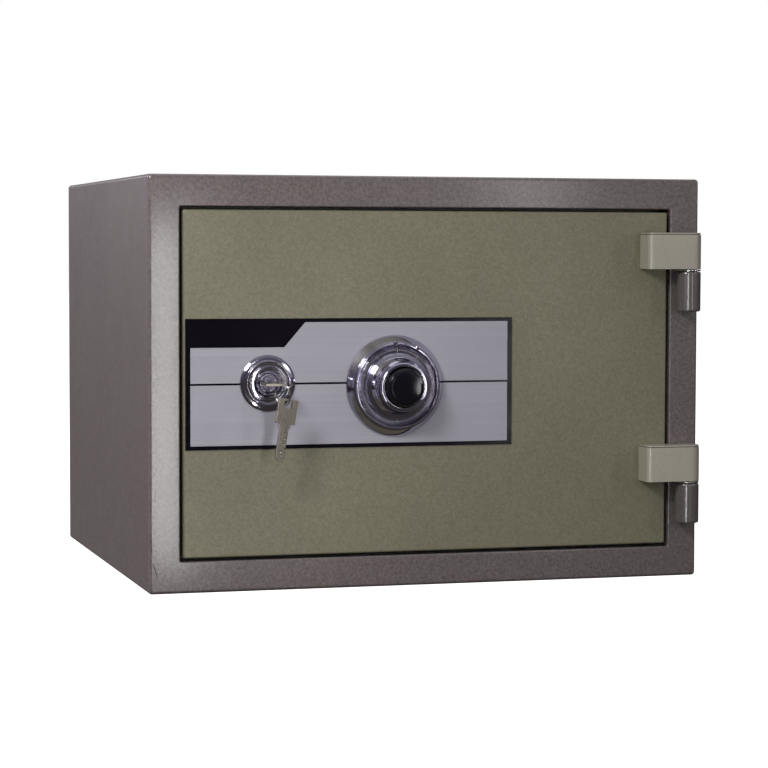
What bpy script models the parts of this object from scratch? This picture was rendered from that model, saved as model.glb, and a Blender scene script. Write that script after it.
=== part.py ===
"""Fireproof document box: a small fire-resistant safe with a key lock and a combination dial.

Metres, +Z up. The origin is the middle of the base's footprint. The door is on the -Y side, with its
hinges at +X. Places are mostly given as (x, depth, z), where depth runs into the box from the plane of
its front frame, so that a negative depth stands proud of the front.
"""

import math

import bmesh
import bpy
from mathutils import Matrix, Vector

MM = 0.001

# Driving dimensions, in millimetres
WIDTH, HEIGHT, DEPTH = 435.0, 310.0, 374.0
SHEET = 1.2                      # steel sheet of the casing and the door
FRAME_WIDTH = 23.5               # face of the front frame round the door
FRAME_RETURN = 12.0              # depth of the frame's folded edge
EDGE_RADIUS = 2.0                # folded outer edges of the casing
DOOR_GAP = 2.4                   # shadow gap round the door
GAP = 0.3                        # clearance between pieces that touch

DOOR_FACE = 0.5                  # depth of the door's outer face
DOOR_RIM_DEPTH = 20.6            # depth of the back of the door's folded rim
PLUG_HALF_WIDTH = 158.0          # stepped plug on the back of the door
PLUG_BOTTOM, PLUG_TOP = 53.0, 257.0
PLUG_BACK = 60.0
PAN_FLANGE_HALF_WIDTH = 186.0
PAN_FLANGE_BOTTOM, PAN_FLANGE_TOP = 31.0, 279.0
PAN_SHEET = 1.4

JAMB_STEP = 26.0                 # depth of the jamb's step, which the seal faces
JAMB_BACK = 62.0
JAMB_WALL = 2.0
MOUTH_HALF_WIDTH = 165.0
MOUTH_BOTTOM, MOUTH_TOP = 51.0, 259.0

CAVITY_HALF_WIDTH = 158.5
CAVITY_BOTTOM, CAVITY_TOP = 57.5, 252.5
CAVITY_BACK = 310.0
LINER_WALL = 2.0

PLATE_LEFT, PLATE_RIGHT = -190.0, 64.0
PLATE_BOTTOM, PLATE_TOP = 106.3, 203.5
PLATE_FACE = -0.8                # depth of the trim plate's outer face

LOCK_X, LOCK_Z = -128.0, 155.5
PLUG_FACE = -5.5                 # depth of the lock plug's face
PLUG_RADIUS = 7.0
CYLINDER_RADIUS = 9.7
DIAL_X, DIAL_Z = -29.6, 152.5
SPINDLE_RADIUS = 3.0
TUBE_RADIUS = 6.0

HINGE_X, HINGE_DEPTH = 205.5, -9.8
HINGE_RADIUS = 9.3
HINGE_ARM_LEFT = 169.0
HINGE_ARM_HEIGHT = 26.6
HINGE_PITCH = 164.4
HINGE_LOWER_Z = 75.8             # underside of the lower hinge arm
KNUCKLE_LENGTH = 31.0
PIN_RADIUS = 3.0

MECHANISM_FACE = 38.5            # depth of the mechanism plate's rear face
BOLT_HEIGHTS = (85.0, 120.0, 190.0, 225.0)
BOLT_RADIUS = 7.0
BOLT_DEPTH = 48.7
BOLT_TIP = -157.0
CARRIAGE_X = -102.0              # face of the carriage's flange that the bolts butt on
CAM_REACH = 12.0                 # cam pin's distance from the plug's axis
CAM_PIN_RADIUS = 2.5
CAM_OFFSET = CAM_REACH * math.sin(math.radians(45.0))
THROW = 2.0 * CAM_OFFSET         # travel of the bolts for a quarter turn of the key
GUIDE_SCREW_X = -88.0
GUIDE_SCREW_HEIGHTS = (102.0, 206.0)

WHEEL_RADIUS = 20.0
WHEEL_THICKNESS = 2.4
WHEEL_DEPTHS = (40.0, 43.6, 47.2)
WHEEL_GATES = (40.0, 130.0, 250.0)
DRIVE_WHEEL_DEPTH = 51.0
FENCE_PIVOT_X, FENCE_PIVOT_Z = -66.0, 186.0

BOW_WIDTH, BOW_LENGTH = 15.7, 18.5
NECK_WIDTH, NECK_LENGTH = 9.0, 3.4
BLADE_WIDTH, BLADE_LENGTH = 7.0, 24.0
KEY_THICKNESS = 2.0
KEY_HOLE_WIDTH, KEY_HOLE_START, KEY_HOLE_END = 6.3, 1.6, 6.8
RING_RADIUS, RING_WIRE = 9.3, 0.7
RING_CENTRE = (-123.6, -29.7, 149.3)
RING_TURN = math.radians(69.0)   # how far the ring's plane is turned from the front
RING_LEAN = math.radians(8.0)
SPARE_PLACE = math.radians(35.0)  # where the spare key hangs, round the ring from its lowest point
SPARE_TURN = math.radians(11.0)
SPARE_TILT = math.radians(10.0)
SPARE_GRIP = 3.8                 # ring wire's place in the spare key's hole, from the bow's end

FINISHES = {
    # name: (colour, metallic, roughness)
    "body_paint": ((0.205, 0.180, 0.185), 0.25, 0.42),
    "door_paint": ((0.215, 0.215, 0.150), 0.25, 0.42),
    "trim_print": ((0.420, 0.400, 0.500), 0.35, 0.35),
    "chrome": ((0.70, 0.70, 0.74), 1.0, 0.08),
    "black_gloss": ((0.012, 0.012, 0.016), 0.0, 0.10),
    "key_nickel": ((0.42, 0.40, 0.36), 1.0, 0.30),
    "zinc_steel": ((0.55, 0.55, 0.53), 1.0, 0.35),
    "brass": ((0.66, 0.50, 0.24), 1.0, 0.30),
    "liner_plastic": ((0.30, 0.31, 0.31), 0.0, 0.50),
    "insulation": ((0.62, 0.60, 0.56), 0.0, 0.95),
    "seal_rubber": ((0.03, 0.03, 0.03), 0.0, 0.80),
}


def clear_scene():
    """Remove every object of the scene that the script is run in."""
    for obj in list(bpy.data.objects):
        bpy.data.objects.remove(obj, do_unlink=True)


clear_scene()

PARTS = bpy.data.collections.new("fireproof_document_box")
CUTTERS = bpy.data.collections.new("cutters")
bpy.context.scene.collection.children.link(PARTS)
bpy.context.scene.collection.children.link(CUTTERS)


def make_material(name, finish):
    """A plain Principled material named for the piece that wears it."""
    colour, metallic, roughness = FINISHES[finish]
    material = bpy.data.materials.new(name)
    material.use_nodes = True
    shader = material.node_tree.nodes["Principled BSDF"]
    shader.inputs["Base Color"].default_value = (*colour, 1.0)
    shader.inputs["Metallic"].default_value = metallic
    shader.inputs["Roughness"].default_value = roughness
    material.diffuse_color = (*colour, 1.0)
    return material


def place(x, depth, z):
    """The point at x, depth and z, in metres."""
    return Vector((x, depth - DEPTH / 2, z)) * MM


def link(obj, finish):
    """Put an object among the parts with its own material, or among the cutters without one."""
    if finish is None:
        CUTTERS.objects.link(obj)
        obj.hide_render = True
        obj.display_type = "WIRE"
    else:
        PARTS.objects.link(obj)
        obj.data.materials.append(make_material(obj.name, finish))
    return obj


def smooth(obj):
    """Shade a round piece smooth, with its edges kept crisp."""
    obj.data.shade_smooth()
    obj.data.set_sharp_from_angle(angle=math.radians(35.0))
    return obj


def box(name, xs, depths, zs, finish=None, bevel=0.0, segments=2):
    """A block between two places on each axis, with its edges rounded where a bevel is given."""
    low, high = place(xs[0], depths[0], zs[0]), place(xs[1], depths[1], zs[1])
    mesh = bpy.data.meshes.new(name)
    bm = bmesh.new()
    bmesh.ops.create_cube(bm, size=1.0)
    bmesh.ops.scale(bm, vec=high - low, verts=bm.verts)
    bm.to_mesh(mesh)
    bm.free()
    obj = bpy.data.objects.new(name, mesh)
    obj.location = (low + high) / 2
    link(obj, finish)
    if bevel:
        rounding = obj.modifiers.new("rounded_edges", "BEVEL")
        rounding.width = bevel * MM
        rounding.segments = segments
        rounding.limit_method = "ANGLE"
    return obj


AXIS_TURNS = {
    "X": Matrix.Rotation(math.radians(90.0), 4, "Y"),
    "Y": Matrix.Rotation(math.radians(-90.0), 4, "X"),
    "Z": Matrix.Identity(4),
}


def rod(name, radius, axis, start, length, finish=None, sides=32):
    """A round bar from a start point, running along +X, +Y or +Z."""
    mesh = bpy.data.meshes.new(name)
    bm = bmesh.new()
    bmesh.ops.create_cone(
        bm, cap_ends=True, segments=sides, radius1=radius * MM, radius2=radius * MM, depth=length * MM
    )
    bmesh.ops.translate(bm, vec=(0.0, 0.0, length * MM / 2), verts=bm.verts)
    bmesh.ops.transform(bm, matrix=AXIS_TURNS[axis], verts=bm.verts)
    bm.to_mesh(mesh)
    bm.free()
    obj = bpy.data.objects.new(name, mesh)
    obj.location = place(*start)
    link(obj, finish)
    return smooth(obj)


def turned(name, outline, centre, finish, steps=48, closed=True):
    """A turned piece on a front-to-back axis.

    The outline is (radius, depth) in millimetres, from the front of its outer side to the back of it and
    on round the section. An outline that isn't closed starts and ends on the axis.
    """
    mesh = bpy.data.meshes.new(name)
    points = [(r * MM, 0.0, -d * MM) for r, d in outline]
    edges = [(i, i + 1) for i in range(len(points) - 1)]
    if closed:
        edges.append((len(points) - 1, 0))
    mesh.from_pydata(points, edges, [])
    obj = bpy.data.objects.new(name, mesh)
    obj.location = place(centre[0], 0.0, centre[1])
    obj.rotation_euler = (math.radians(90.0), 0.0, 0.0)
    link(obj, finish)
    screw = obj.modifiers.new("turned", "SCREW")
    screw.steps = steps
    screw.render_steps = steps
    screw.use_merge_vertices = True
    screw.merge_threshold = 0.00001
    screw.use_smooth_shade = True
    return obj


def cut(obj, *cutters):
    """Take each cutter's shape out of the object."""
    for cutter in cutters:
        step = obj.modifiers.new(cutter.name, "BOOLEAN")
        step.operation = "DIFFERENCE"
        step.object = cutter
    return obj


def add(obj, *shapes):
    """Join each shape to the object."""
    for shape in shapes:
        step = obj.modifiers.new(shape.name, "BOOLEAN")
        step.operation = "UNION"
        step.object = shape
    return obj


def pivot(name, x, depth, z, parent=None):
    """An empty on a joint's axis, which the pieces of a moving body hang from."""
    empty = bpy.data.objects.new(name, None)
    empty.empty_display_size = 0.02
    empty.location = place(x, depth, z)
    PARTS.objects.link(empty)
    if parent:
        attach(parent, empty)
    return empty


def attach(parent, *children):
    """Parent objects to an empty without moving them."""
    bpy.context.view_layer.update()
    for child in children:
        child.parent = parent
        child.matrix_parent_inverse = parent.matrix_world.inverted()


# ---------------------------------------------------------------- body

def opening_half_width():
    """Half the width of the opening in the front frame."""
    return WIDTH / 2 - FRAME_WIDTH


def build_casing():
    """The folded steel casing with its front frame, and the panel that closes its back."""
    half = WIDTH / 2
    opening = opening_half_width()
    low, high = FRAME_WIDTH, HEIGHT - FRAME_WIDTH
    past = 10.0
    casing = box("outer_casing", (-half, half), (0.0, DEPTH + past), (0.0, HEIGHT), "body_paint",
                 bevel=EDGE_RADIUS)
    inside = half - SHEET
    hollow = box("casing_hollow", (-inside, inside), (SHEET, DEPTH + 2 * past), (SHEET, HEIGHT - SHEET))
    tail = box("casing_tail", (-half - past, half + past), (DEPTH, DEPTH + 2 * past), (-past, HEIGHT + past))
    cut(casing, hollow, tail)
    add(casing, box("frame_fold", (-opening - SHEET, opening + SHEET), (SHEET / 2, FRAME_RETURN),
                    (low - SHEET, high + SHEET)))
    cut(casing, box("frame_opening", (-opening, opening), (-past, FRAME_RETURN + past), (low, high)))
    edge = inside - GAP
    box("rear_panel", (-edge, edge), (DEPTH - GAP - SHEET, DEPTH - GAP), (SHEET + GAP, HEIGHT - SHEET - GAP),
        "body_paint")


def build_jamb():
    """The stepped plastic jamb behind the front frame, with the bolts' keeper let into its left side."""
    outer = opening_half_width()
    low, high = FRAME_WIDTH, HEIGHT - FRAME_WIDTH
    wall = JAMB_WALL
    jamb = box("door_jamb", (-outer - wall, outer + wall), (FRAME_RETURN + GAP, JAMB_STEP + wall),
               (low - wall, high + wall), "liner_plastic")
    add(jamb, box("jamb_tunnel", (-MOUTH_HALF_WIDTH - wall, MOUTH_HALF_WIDTH + wall),
                  (JAMB_STEP + wall / 2, JAMB_BACK), (MOUTH_BOTTOM - wall, MOUTH_TOP + wall)))
    cut(jamb, box("jamb_front", (-outer, outer), (0.0, JAMB_STEP), (low, high)),
        box("jamb_mouth", (-MOUTH_HALF_WIDTH, MOUTH_HALF_WIDTH), (JAMB_STEP - wall, JAMB_BACK + wall),
            (MOUTH_BOTTOM, MOUTH_TOP)))
    keeper = box("bolt_keeper", (-MOUTH_HALF_WIDTH - 5.5, -MOUTH_HALF_WIDTH - 2.5), (40.0, 58.0),
                 (77.0, 233.0), "zinc_steel")
    for number, height in enumerate(BOLT_HEIGHTS, 1):
        hole = rod(f"keeper_hole_{number}", BOLT_RADIUS + 0.8, "X", (-MOUTH_HALF_WIDTH - 20.0, BOLT_DEPTH, height),
                   30.0)
        cut(jamb, hole)
        cut(keeper, hole)
    cut(jamb, box("dead_bar_slot", (MOUTH_HALF_WIDTH - 2.0, MOUTH_HALF_WIDTH + 12.0), (38.0, 59.5),
                  (83.0, 227.0)))


def build_liner():
    """The storage compartment's liner and the insulation cast between it and the casing."""
    inner, wall = CAVITY_HALF_WIDTH, LINER_WALL
    lip = JAMB_BACK + GAP
    liner = box("inner_liner", (-inner - wall, inner + wall), (lip, CAVITY_BACK + wall),
                (CAVITY_BOTTOM - wall, CAVITY_TOP + wall), "liner_plastic")
    add(liner, box("liner_lip", (-MOUTH_HALF_WIDTH - wall, MOUTH_HALF_WIDTH + wall), (lip, lip + wall),
                   (MOUTH_BOTTOM - wall, MOUTH_TOP + wall)))
    cut(liner, box("storage_space", (-inner, inner), (lip - wall, CAVITY_BACK), (CAVITY_BOTTOM, CAVITY_TOP)))

    edge = WIDTH / 2 - SHEET - GAP
    outer = opening_half_width() + JAMB_WALL + GAP
    tunnel = MOUTH_HALF_WIDTH + JAMB_WALL + GAP
    hollow = inner + wall + GAP
    fill = box("body_insulation", (-edge, edge), (SHEET + GAP, DEPTH - SHEET - 2 * GAP),
               (SHEET + GAP, HEIGHT - SHEET - GAP), "insulation")
    margin = JAMB_WALL + GAP
    cut(fill,
        box("front_pocket", (-outer, outer), (0.0, JAMB_STEP + margin),
            (FRAME_WIDTH - margin, HEIGHT - FRAME_WIDTH + margin)),
        box("tunnel_pocket", (-tunnel, tunnel), (JAMB_STEP, lip + wall + GAP),
            (MOUTH_BOTTOM - margin, MOUTH_TOP + margin)),
        box("liner_pocket", (-hollow, hollow), (JAMB_BACK, CAVITY_BACK + wall + GAP),
            (CAVITY_BOTTOM - wall - GAP, CAVITY_TOP + wall + GAP)),
        box("keeper_pocket", (-tunnel - 9.7, -MOUTH_HALF_WIDTH), (39.0, 59.0), (76.0, 234.0)),
        box("dead_bar_pocket", (MOUTH_HALF_WIDTH, tunnel + 9.7), (37.0, 60.5), (82.0, 228.0)))


def build_shelf():
    """The removable shelf across the storage space and the two ledges that it rests on."""
    half = CAVITY_HALF_WIDTH - 0.9
    shelf = box("shelf", (-half, half), (80.0, 305.0), (152.0, 153.6), "liner_plastic")
    add(shelf, box("shelf_lip", (-half, half), (80.0, 81.6), (146.0, 153.6)))
    for side, sign in (("left", -1.0), ("right", 1.0)):
        ends = sorted((sign * (CAVITY_HALF_WIDTH - GAP), sign * (CAVITY_HALF_WIDTH - 11.0)))
        box(f"shelf_ledge_{side}", ends, (85.0, 300.0), (147.5, 151.7), "liner_plastic")


# ---------------------------------------------------------------- hinges

def build_hinges(door):
    """The two front hinges: an arm on the door over a washer and a knuckle on the frame."""
    for place_name, arm_z in (("lower", HINGE_LOWER_Z), ("upper", HINGE_LOWER_Z + HINGE_PITCH)):
        washer_z = arm_z - 1.5
        knuckle_top = washer_z - GAP
        knuckle_z = knuckle_top - KNUCKLE_LENGTH
        arm_top = arm_z + HINGE_ARM_HEIGHT
        front, back = HINGE_DEPTH - HINGE_RADIUS, HINGE_DEPTH + HINGE_RADIUS

        arm = box(f"hinge_arm_{place_name}", (HINGE_ARM_LEFT, HINGE_X), (front, back), (arm_z, arm_top),
                  "door_paint")
        add(arm, rod(f"arm_barrel_{place_name}", HINGE_RADIUS, "Z", (HINGE_X, HINGE_DEPTH, arm_z),
                     HINGE_ARM_HEIGHT, sides=40),
            box(f"arm_foot_{place_name}", (HINGE_ARM_LEFT, 190.0), (back - 4.0, DOOR_FACE - GAP),
                (arm_z, arm_top)))
        cut(arm, rod(f"arm_bore_{place_name}", PIN_RADIUS + 0.4, "Z", (HINGE_X, HINGE_DEPTH, arm_z - 5.0), 28.0,
                     sides=20))
        attach(door, arm)

        knuckle = rod(f"hinge_knuckle_{place_name}", HINGE_RADIUS, "Z", (HINGE_X, HINGE_DEPTH, knuckle_z),
                      KNUCKLE_LENGTH, "body_paint", sides=40)
        add(knuckle, box(f"knuckle_foot_{place_name}", (HINGE_X - 5.0, HINGE_X + 5.0),
                         (HINGE_DEPTH, -GAP), (knuckle_z + 2.0, knuckle_top - 2.0)))
        cut(knuckle, rod(f"knuckle_bore_{place_name}", PIN_RADIUS + 0.3, "Z",
                         (HINGE_X, HINGE_DEPTH, knuckle_z + 4.0), KNUCKLE_LENGTH, sides=20))

        washer = rod(f"hinge_washer_{place_name}", HINGE_RADIUS, "Z", (HINGE_X, HINGE_DEPTH, washer_z), 1.2,
                     "zinc_steel", sides=40)
        cut(washer, rod(f"washer_bore_{place_name}", PIN_RADIUS + 0.3, "Z", (HINGE_X, HINGE_DEPTH, washer_z - 1.0),
                        4.0, sides=20))
        rod(f"hinge_pin_{place_name}", PIN_RADIUS, "Z", (HINGE_X, HINGE_DEPTH, knuckle_z + 4.0 + GAP),
            KNUCKLE_LENGTH + 18.0, "zinc_steel", sides=20)


# ---------------------------------------------------------------- door

def build_door_shell(door):
    """The door's outer skin, its insulation, the pan on its back, the seal and the dead bar."""
    half = opening_half_width() - DOOR_GAP
    low, high = FRAME_WIDTH + DOOR_GAP, HEIGHT - FRAME_WIDTH - DOOR_GAP
    past = 10.0
    skin = box("door_skin", (-half, half), (DOOR_FACE, DOOR_RIM_DEPTH + past), (low, high), "door_paint",
               bevel=1.0)
    lock_hole = rod("lock_hole", CYLINDER_RADIUS + 0.4, "Y", (LOCK_X, -past, LOCK_Z), 60.0, sides=32)
    dial_hole = rod("dial_hole", TUBE_RADIUS + 0.4, "Y", (DIAL_X, -past, DIAL_Z), 60.0, sides=24)
    inside = half - SHEET
    cut(skin, box("skin_hollow", (-inside, inside), (DOOR_FACE + SHEET, DOOR_RIM_DEPTH + 2 * past),
                  (low + SHEET, high - SHEET)),
        box("skin_tail", (-half - past, half + past), (DOOR_RIM_DEPTH, DOOR_RIM_DEPTH + 2 * past),
            (low - past, high + past)),
        lock_hole, dial_hole)

    edge = inside - GAP
    plug_half = PLUG_HALF_WIDTH - PAN_SHEET - GAP
    fill = box("door_insulation", (-edge, edge), (DOOR_FACE + SHEET + GAP, DOOR_RIM_DEPTH),
               (low + SHEET + GAP, high - SHEET - GAP), "insulation")
    add(fill, box("plug_fill", (-plug_half, plug_half), (DOOR_RIM_DEPTH - 5.0, 36.2),
                  (PLUG_BOTTOM + PAN_SHEET + GAP, PLUG_TOP - PAN_SHEET - GAP)))
    cut(fill, lock_hole, dial_hole)

    flange_front = DOOR_RIM_DEPTH + GAP
    flange_back = flange_front + PAN_SHEET
    pan = box("door_inner_pan", (-PLUG_HALF_WIDTH, PLUG_HALF_WIDTH), (flange_front, PLUG_BACK),
              (PLUG_BOTTOM, PLUG_TOP), "liner_plastic", bevel=1.0, segments=1)
    add(pan, box("pan_flange", (-PAN_FLANGE_HALF_WIDTH, PAN_FLANGE_HALF_WIDTH), (flange_front, flange_back),
                 (PAN_FLANGE_BOTTOM, PAN_FLANGE_TOP)))
    cut(pan, box("pan_hollow", (PAN_SHEET - PLUG_HALF_WIDTH, PLUG_HALF_WIDTH - PAN_SHEET),
                 (flange_front - past, PLUG_BACK - PAN_SHEET), (PLUG_BOTTOM + PAN_SHEET, PLUG_TOP - PAN_SHEET)))
    for number, height in enumerate(BOLT_HEIGHTS, 1):
        cut(pan, rod(f"pan_hole_{number}", BOLT_RADIUS + 0.6, "X", (-PLUG_HALF_WIDTH - 5.0, BOLT_DEPTH, height),
                     10.0))

    seal_front = flange_back + GAP
    seal = box("door_seal", (-178.0, 178.0), (seal_front, seal_front + 2.8), (38.5, 271.5), "seal_rubber")
    cut(seal, box("seal_middle", (-172.0, 172.0), (seal_front - past, seal_front + past), (44.5, 265.5)))

    dead_bar = box("dead_bar", (PLUG_HALF_WIDTH + GAP, MOUTH_HALF_WIDTH + 5.0), (50.0, 56.0), (86.0, 224.0),
                   "zinc_steel", bevel=0.8, segments=1)

    attach(door, skin, fill, pan, seal, dead_bar)
    for side, x in (("left", -182.0), ("right", 182.0)):
        for level, z in (("bottom", 62.0), ("top", 248.0)):
            build_pan_screw(door, pan, fill, f"{side}_{level}", x, z, flange_back)


def build_pan_screw(door, pan, fill, where, x, z, flange_back):
    """One screw that holds the pan's flange, and its holes in the pan and the insulation."""
    head_front = flange_back + GAP
    shank_front = 14.0
    screw = rod(f"pan_screw_{where}", 3.2, "Y", (x, head_front, z), 1.6, "zinc_steel", sides=16)
    add(screw, rod(f"pan_screw_shank_{where}", 1.6, "Y", (x, shank_front, z), head_front + 0.5 - shank_front,
                   sides=12))
    hole = rod(f"pan_screw_hole_{where}", 2.0, "Y", (x, shank_front - 1.0, z), 12.0, sides=12)
    cut(pan, hole)
    cut(fill, hole)
    attach(door, screw)


def build_trim_plate(door):
    """The thin printed plate behind the lock and the dial."""
    plate = box("trim_plate", (PLATE_LEFT, PLATE_RIGHT), (PLATE_FACE, PLATE_FACE + 1.0),
                (PLATE_BOTTOM, PLATE_TOP), "trim_print")
    cut(plate, CUTTERS.objects["lock_hole"], CUTTERS.objects["dial_hole"])
    attach(door, plate)


def build_mechanism_plate(door):
    """The steel plate that carries the lock work, its screws, the bolts' guide and the carriage's screws."""
    front = 36.5
    plate = box("mechanism_plate", (-150.0, 2.0), (front, MECHANISM_FACE), (64.0, 246.0), "zinc_steel")
    cut(plate, CUTTERS.objects["lock_hole"], CUTTERS.objects["dial_hole"])
    for side, x in (("left", -140.0), ("right", -8.0)):
        for level, z in (("bottom", 72.0), ("top", 238.0)):
            where = f"{level}_{side}"
            head = MECHANISM_FACE + GAP
            screw = rod(f"plate_screw_{where}", 3.8, "Y", (x, head, z), 2.2, "zinc_steel", sides=16)
            add(screw, rod(f"plate_screw_shank_{where}", 1.8, "Y", (x, front, z), head + 0.5 - front, sides=12))
            cut(plate, rod(f"plate_screw_hole_{where}", 2.2, "Y", (x, front - 2.0, z), 6.0, sides=12))
            attach(door, screw)

    guide = box("bolt_guide", (-149.0, -146.0), (MECHANISM_FACE + GAP, 57.0), (70.0, 240.0), "zinc_steel")
    for number, height in enumerate(BOLT_HEIGHTS, 1):
        cut(guide, rod(f"guide_hole_{number}", BOLT_RADIUS + 0.4, "X", (-155.0, BOLT_DEPTH, height), 15.0))
    attach(door, plate, guide)

    for level, height in zip(("lower", "upper"), GUIDE_SCREW_HEIGHTS):
        screw = rod(f"carriage_screw_{level}", 5.0, "Y", (GUIDE_SCREW_X, 44.6, height), 2.4, "zinc_steel",
                    sides=20)
        add(screw, rod(f"carriage_screw_shank_{level}", 2.6, "Y",
                       (GUIDE_SCREW_X, MECHANISM_FACE + GAP, height), 6.4, sides=16))
        attach(door, screw)


def build_bolt_work(carriage):
    """The carriage that joins the four live bolts, with the slots that guide it and the cam's slot."""
    front, back = 41.5, 44.0
    bar = box("bolt_carriage", (CARRIAGE_X, CARRIAGE_X + 3.0), (front, 56.0), (76.0, 234.0), "zinc_steel")
    arm_top = LOCK_Z - 0.5
    cam_x = LOCK_X + CAM_OFFSET
    slot_half = CAM_PIN_RADIUS + 0.6
    add(bar, box("carriage_arm", (cam_x - slot_half - 4.0, CARRIAGE_X + 1.5), (front, back),
                 (arm_top - 19.5, arm_top)))
    cut(bar, box("cam_slot", (cam_x - slot_half, cam_x + slot_half), (front - 2.0, back + 2.0),
                 (LOCK_Z - CAM_REACH - CAM_PIN_RADIUS - 0.5, LOCK_Z - CAM_OFFSET + CAM_PIN_RADIUS + 0.5)))
    for level, height in zip(("lower", "upper"), GUIDE_SCREW_HEIGHTS):
        add(bar, box(f"carriage_lug_{level}", (CARRIAGE_X + 1.5, -62.0), (front, back),
                     (height - 10.0, height + 10.0)))
        cut(bar, box(f"guide_slot_{level}", (GUIDE_SCREW_X - 3.3, GUIDE_SCREW_X + THROW + 3.3),
                     (front - 2.0, back + 2.0), (height - 3.1, height + 3.1)))
    attach(carriage, bar)
    for number, height in enumerate(BOLT_HEIGHTS, 1):
        bolt = rod(f"bolt_{number}", BOLT_RADIUS, "X", (BOLT_TIP, BOLT_DEPTH, height),
                   CARRIAGE_X - GAP - BOLT_TIP, "zinc_steel")
        attach(carriage, bolt)


# ---------------------------------------------------------------- key lock

def build_lock(door, plug_pivot):
    """The chrome rosette, the lock's cylinder, and the plug with its cam, which the key turns."""
    rosette = turned("lock_rosette", [
        (11.6, -5.3), (12.9, -5.2), (13.3, -4.0), (14.2, -4.4), (16.2, -4.9), (16.9, -4.4), (17.2, -3.2),
        (19.2, -2.9), (20.8, -2.0), (21.25, -1.1), (10.1, -1.1), (10.1, -4.4), (11.2, -4.6),
    ], (LOCK_X, LOCK_Z), "chrome")
    body = rod("lock_cylinder_body", CYLINDER_RADIUS, "Y", (LOCK_X, PLUG_FACE + 0.5, LOCK_Z),
               MECHANISM_FACE - 0.1 - PLUG_FACE - 0.5, "brass")
    cut(body, rod("plug_bore", PLUG_RADIUS + GAP, "Y", (LOCK_X, -20.0, LOCK_Z), 80.0))
    attach(door, rosette, body)

    plug = rod("lock_plug", PLUG_RADIUS, "Y", (LOCK_X, PLUG_FACE, LOCK_Z),
               MECHANISM_FACE + 0.1 - PLUG_FACE, "chrome")
    cut(plug, box("keyway", (LOCK_X - BLADE_WIDTH / 2 - 0.5, LOCK_X + BLADE_WIDTH / 2 + 0.5), (-20.0, 20.0),
                  (LOCK_Z - KEY_THICKNESS / 2 - GAP, LOCK_Z + KEY_THICKNESS / 2 + GAP)))
    cam = build_cam()
    attach(plug_pivot, plug, cam)


def build_cam():
    """The cam on the back of the plug: a plate with a pin that reaches into the carriage's slot."""
    front = MECHANISM_FACE + 0.4
    thickness = 2.0
    turn = math.radians(-45.0)
    pin_x, pin_z = LOCK_X + CAM_REACH * math.cos(turn), LOCK_Z + CAM_REACH * math.sin(turn)
    cam = rod("lock_cam", 6.5, "Y", (LOCK_X, front, LOCK_Z), thickness, "zinc_steel", sides=24)
    web = box("cam_web", (LOCK_X, LOCK_X + CAM_REACH), (front, front + thickness),
              (LOCK_Z - 3.6, LOCK_Z + 3.6))
    web.matrix_world = (
        Matrix.Translation(place(LOCK_X, front + thickness / 2, LOCK_Z))
        @ Matrix.Rotation(-turn, 4, "Y")
        @ Matrix.Translation(Vector((CAM_REACH / 2 * MM, 0.0, 0.0)))
    )
    add(cam, web, rod("cam_end", 3.6, "Y", (pin_x, front, pin_z), thickness, sides=16),
        rod("cam_pin", CAM_PIN_RADIUS, "Y", (pin_x, front + 0.5, pin_z), 7.0, sides=16))
    return cam


def key_outline():
    """Half of a key's outline, (x, y) in millimetres, from the bow's end to the blade's rounded tip."""
    bow, neck, blade = BOW_WIDTH / 2, NECK_WIDTH / 2, BLADE_WIDTH / 2
    shoulder = BOW_LENGTH + NECK_LENGTH
    tip = shoulder + BLADE_LENGTH
    clip = 1.0
    half = [(bow - clip, 0.0), (bow, clip), (bow, BOW_LENGTH - clip), (bow - clip, BOW_LENGTH),
            (neck, BOW_LENGTH), (neck, shoulder), (blade, shoulder)]
    arc_steps = 6
    for step in range(arc_steps):
        angle = math.radians(90.0 * step / arc_steps)
        half.append((blade * math.cos(angle), tip - blade + blade * math.sin(angle)))
    return half + [(0.0, tip)]


def key_blank(name):
    """A flat key with a slot in its bow, lying in its own XY plane with the bow's end at its origin."""
    curve = bpy.data.curves.new(name, "CURVE")
    curve.dimensions = "2D"
    curve.fill_mode = "BOTH"
    curve.extrude = KEY_THICKNESS / 2 * MM
    half = key_outline()
    outline = half + [(-x, y) for x, y in reversed(half[:-1])]
    hole = KEY_HOLE_WIDTH / 2
    slot = [(-hole, KEY_HOLE_START), (hole, KEY_HOLE_START), (hole, KEY_HOLE_END), (-hole, KEY_HOLE_END)]
    for points in (outline, slot):
        spline = curve.splines.new("POLY")
        spline.points.add(len(points) - 1)
        for point, (x, y) in zip(spline.points, points):
            point.co = (x * MM, y * MM, 0.0, 1.0)
        spline.use_cyclic_u = True
    obj = bpy.data.objects.new(name, curve)
    return link(obj, "key_nickel")


def ring_axes():
    """The key ring's own directions: along its plane towards the front, up its plane, and its normal."""
    along = Vector((math.cos(RING_TURN), -math.sin(RING_TURN), 0.0))
    level_normal = Vector((math.sin(RING_TURN), math.cos(RING_TURN), 0.0))
    up = math.cos(RING_LEAN) * Vector((0.0, 0.0, 1.0)) - math.sin(RING_LEAN) * level_normal
    return along, up, along.cross(up)


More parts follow.
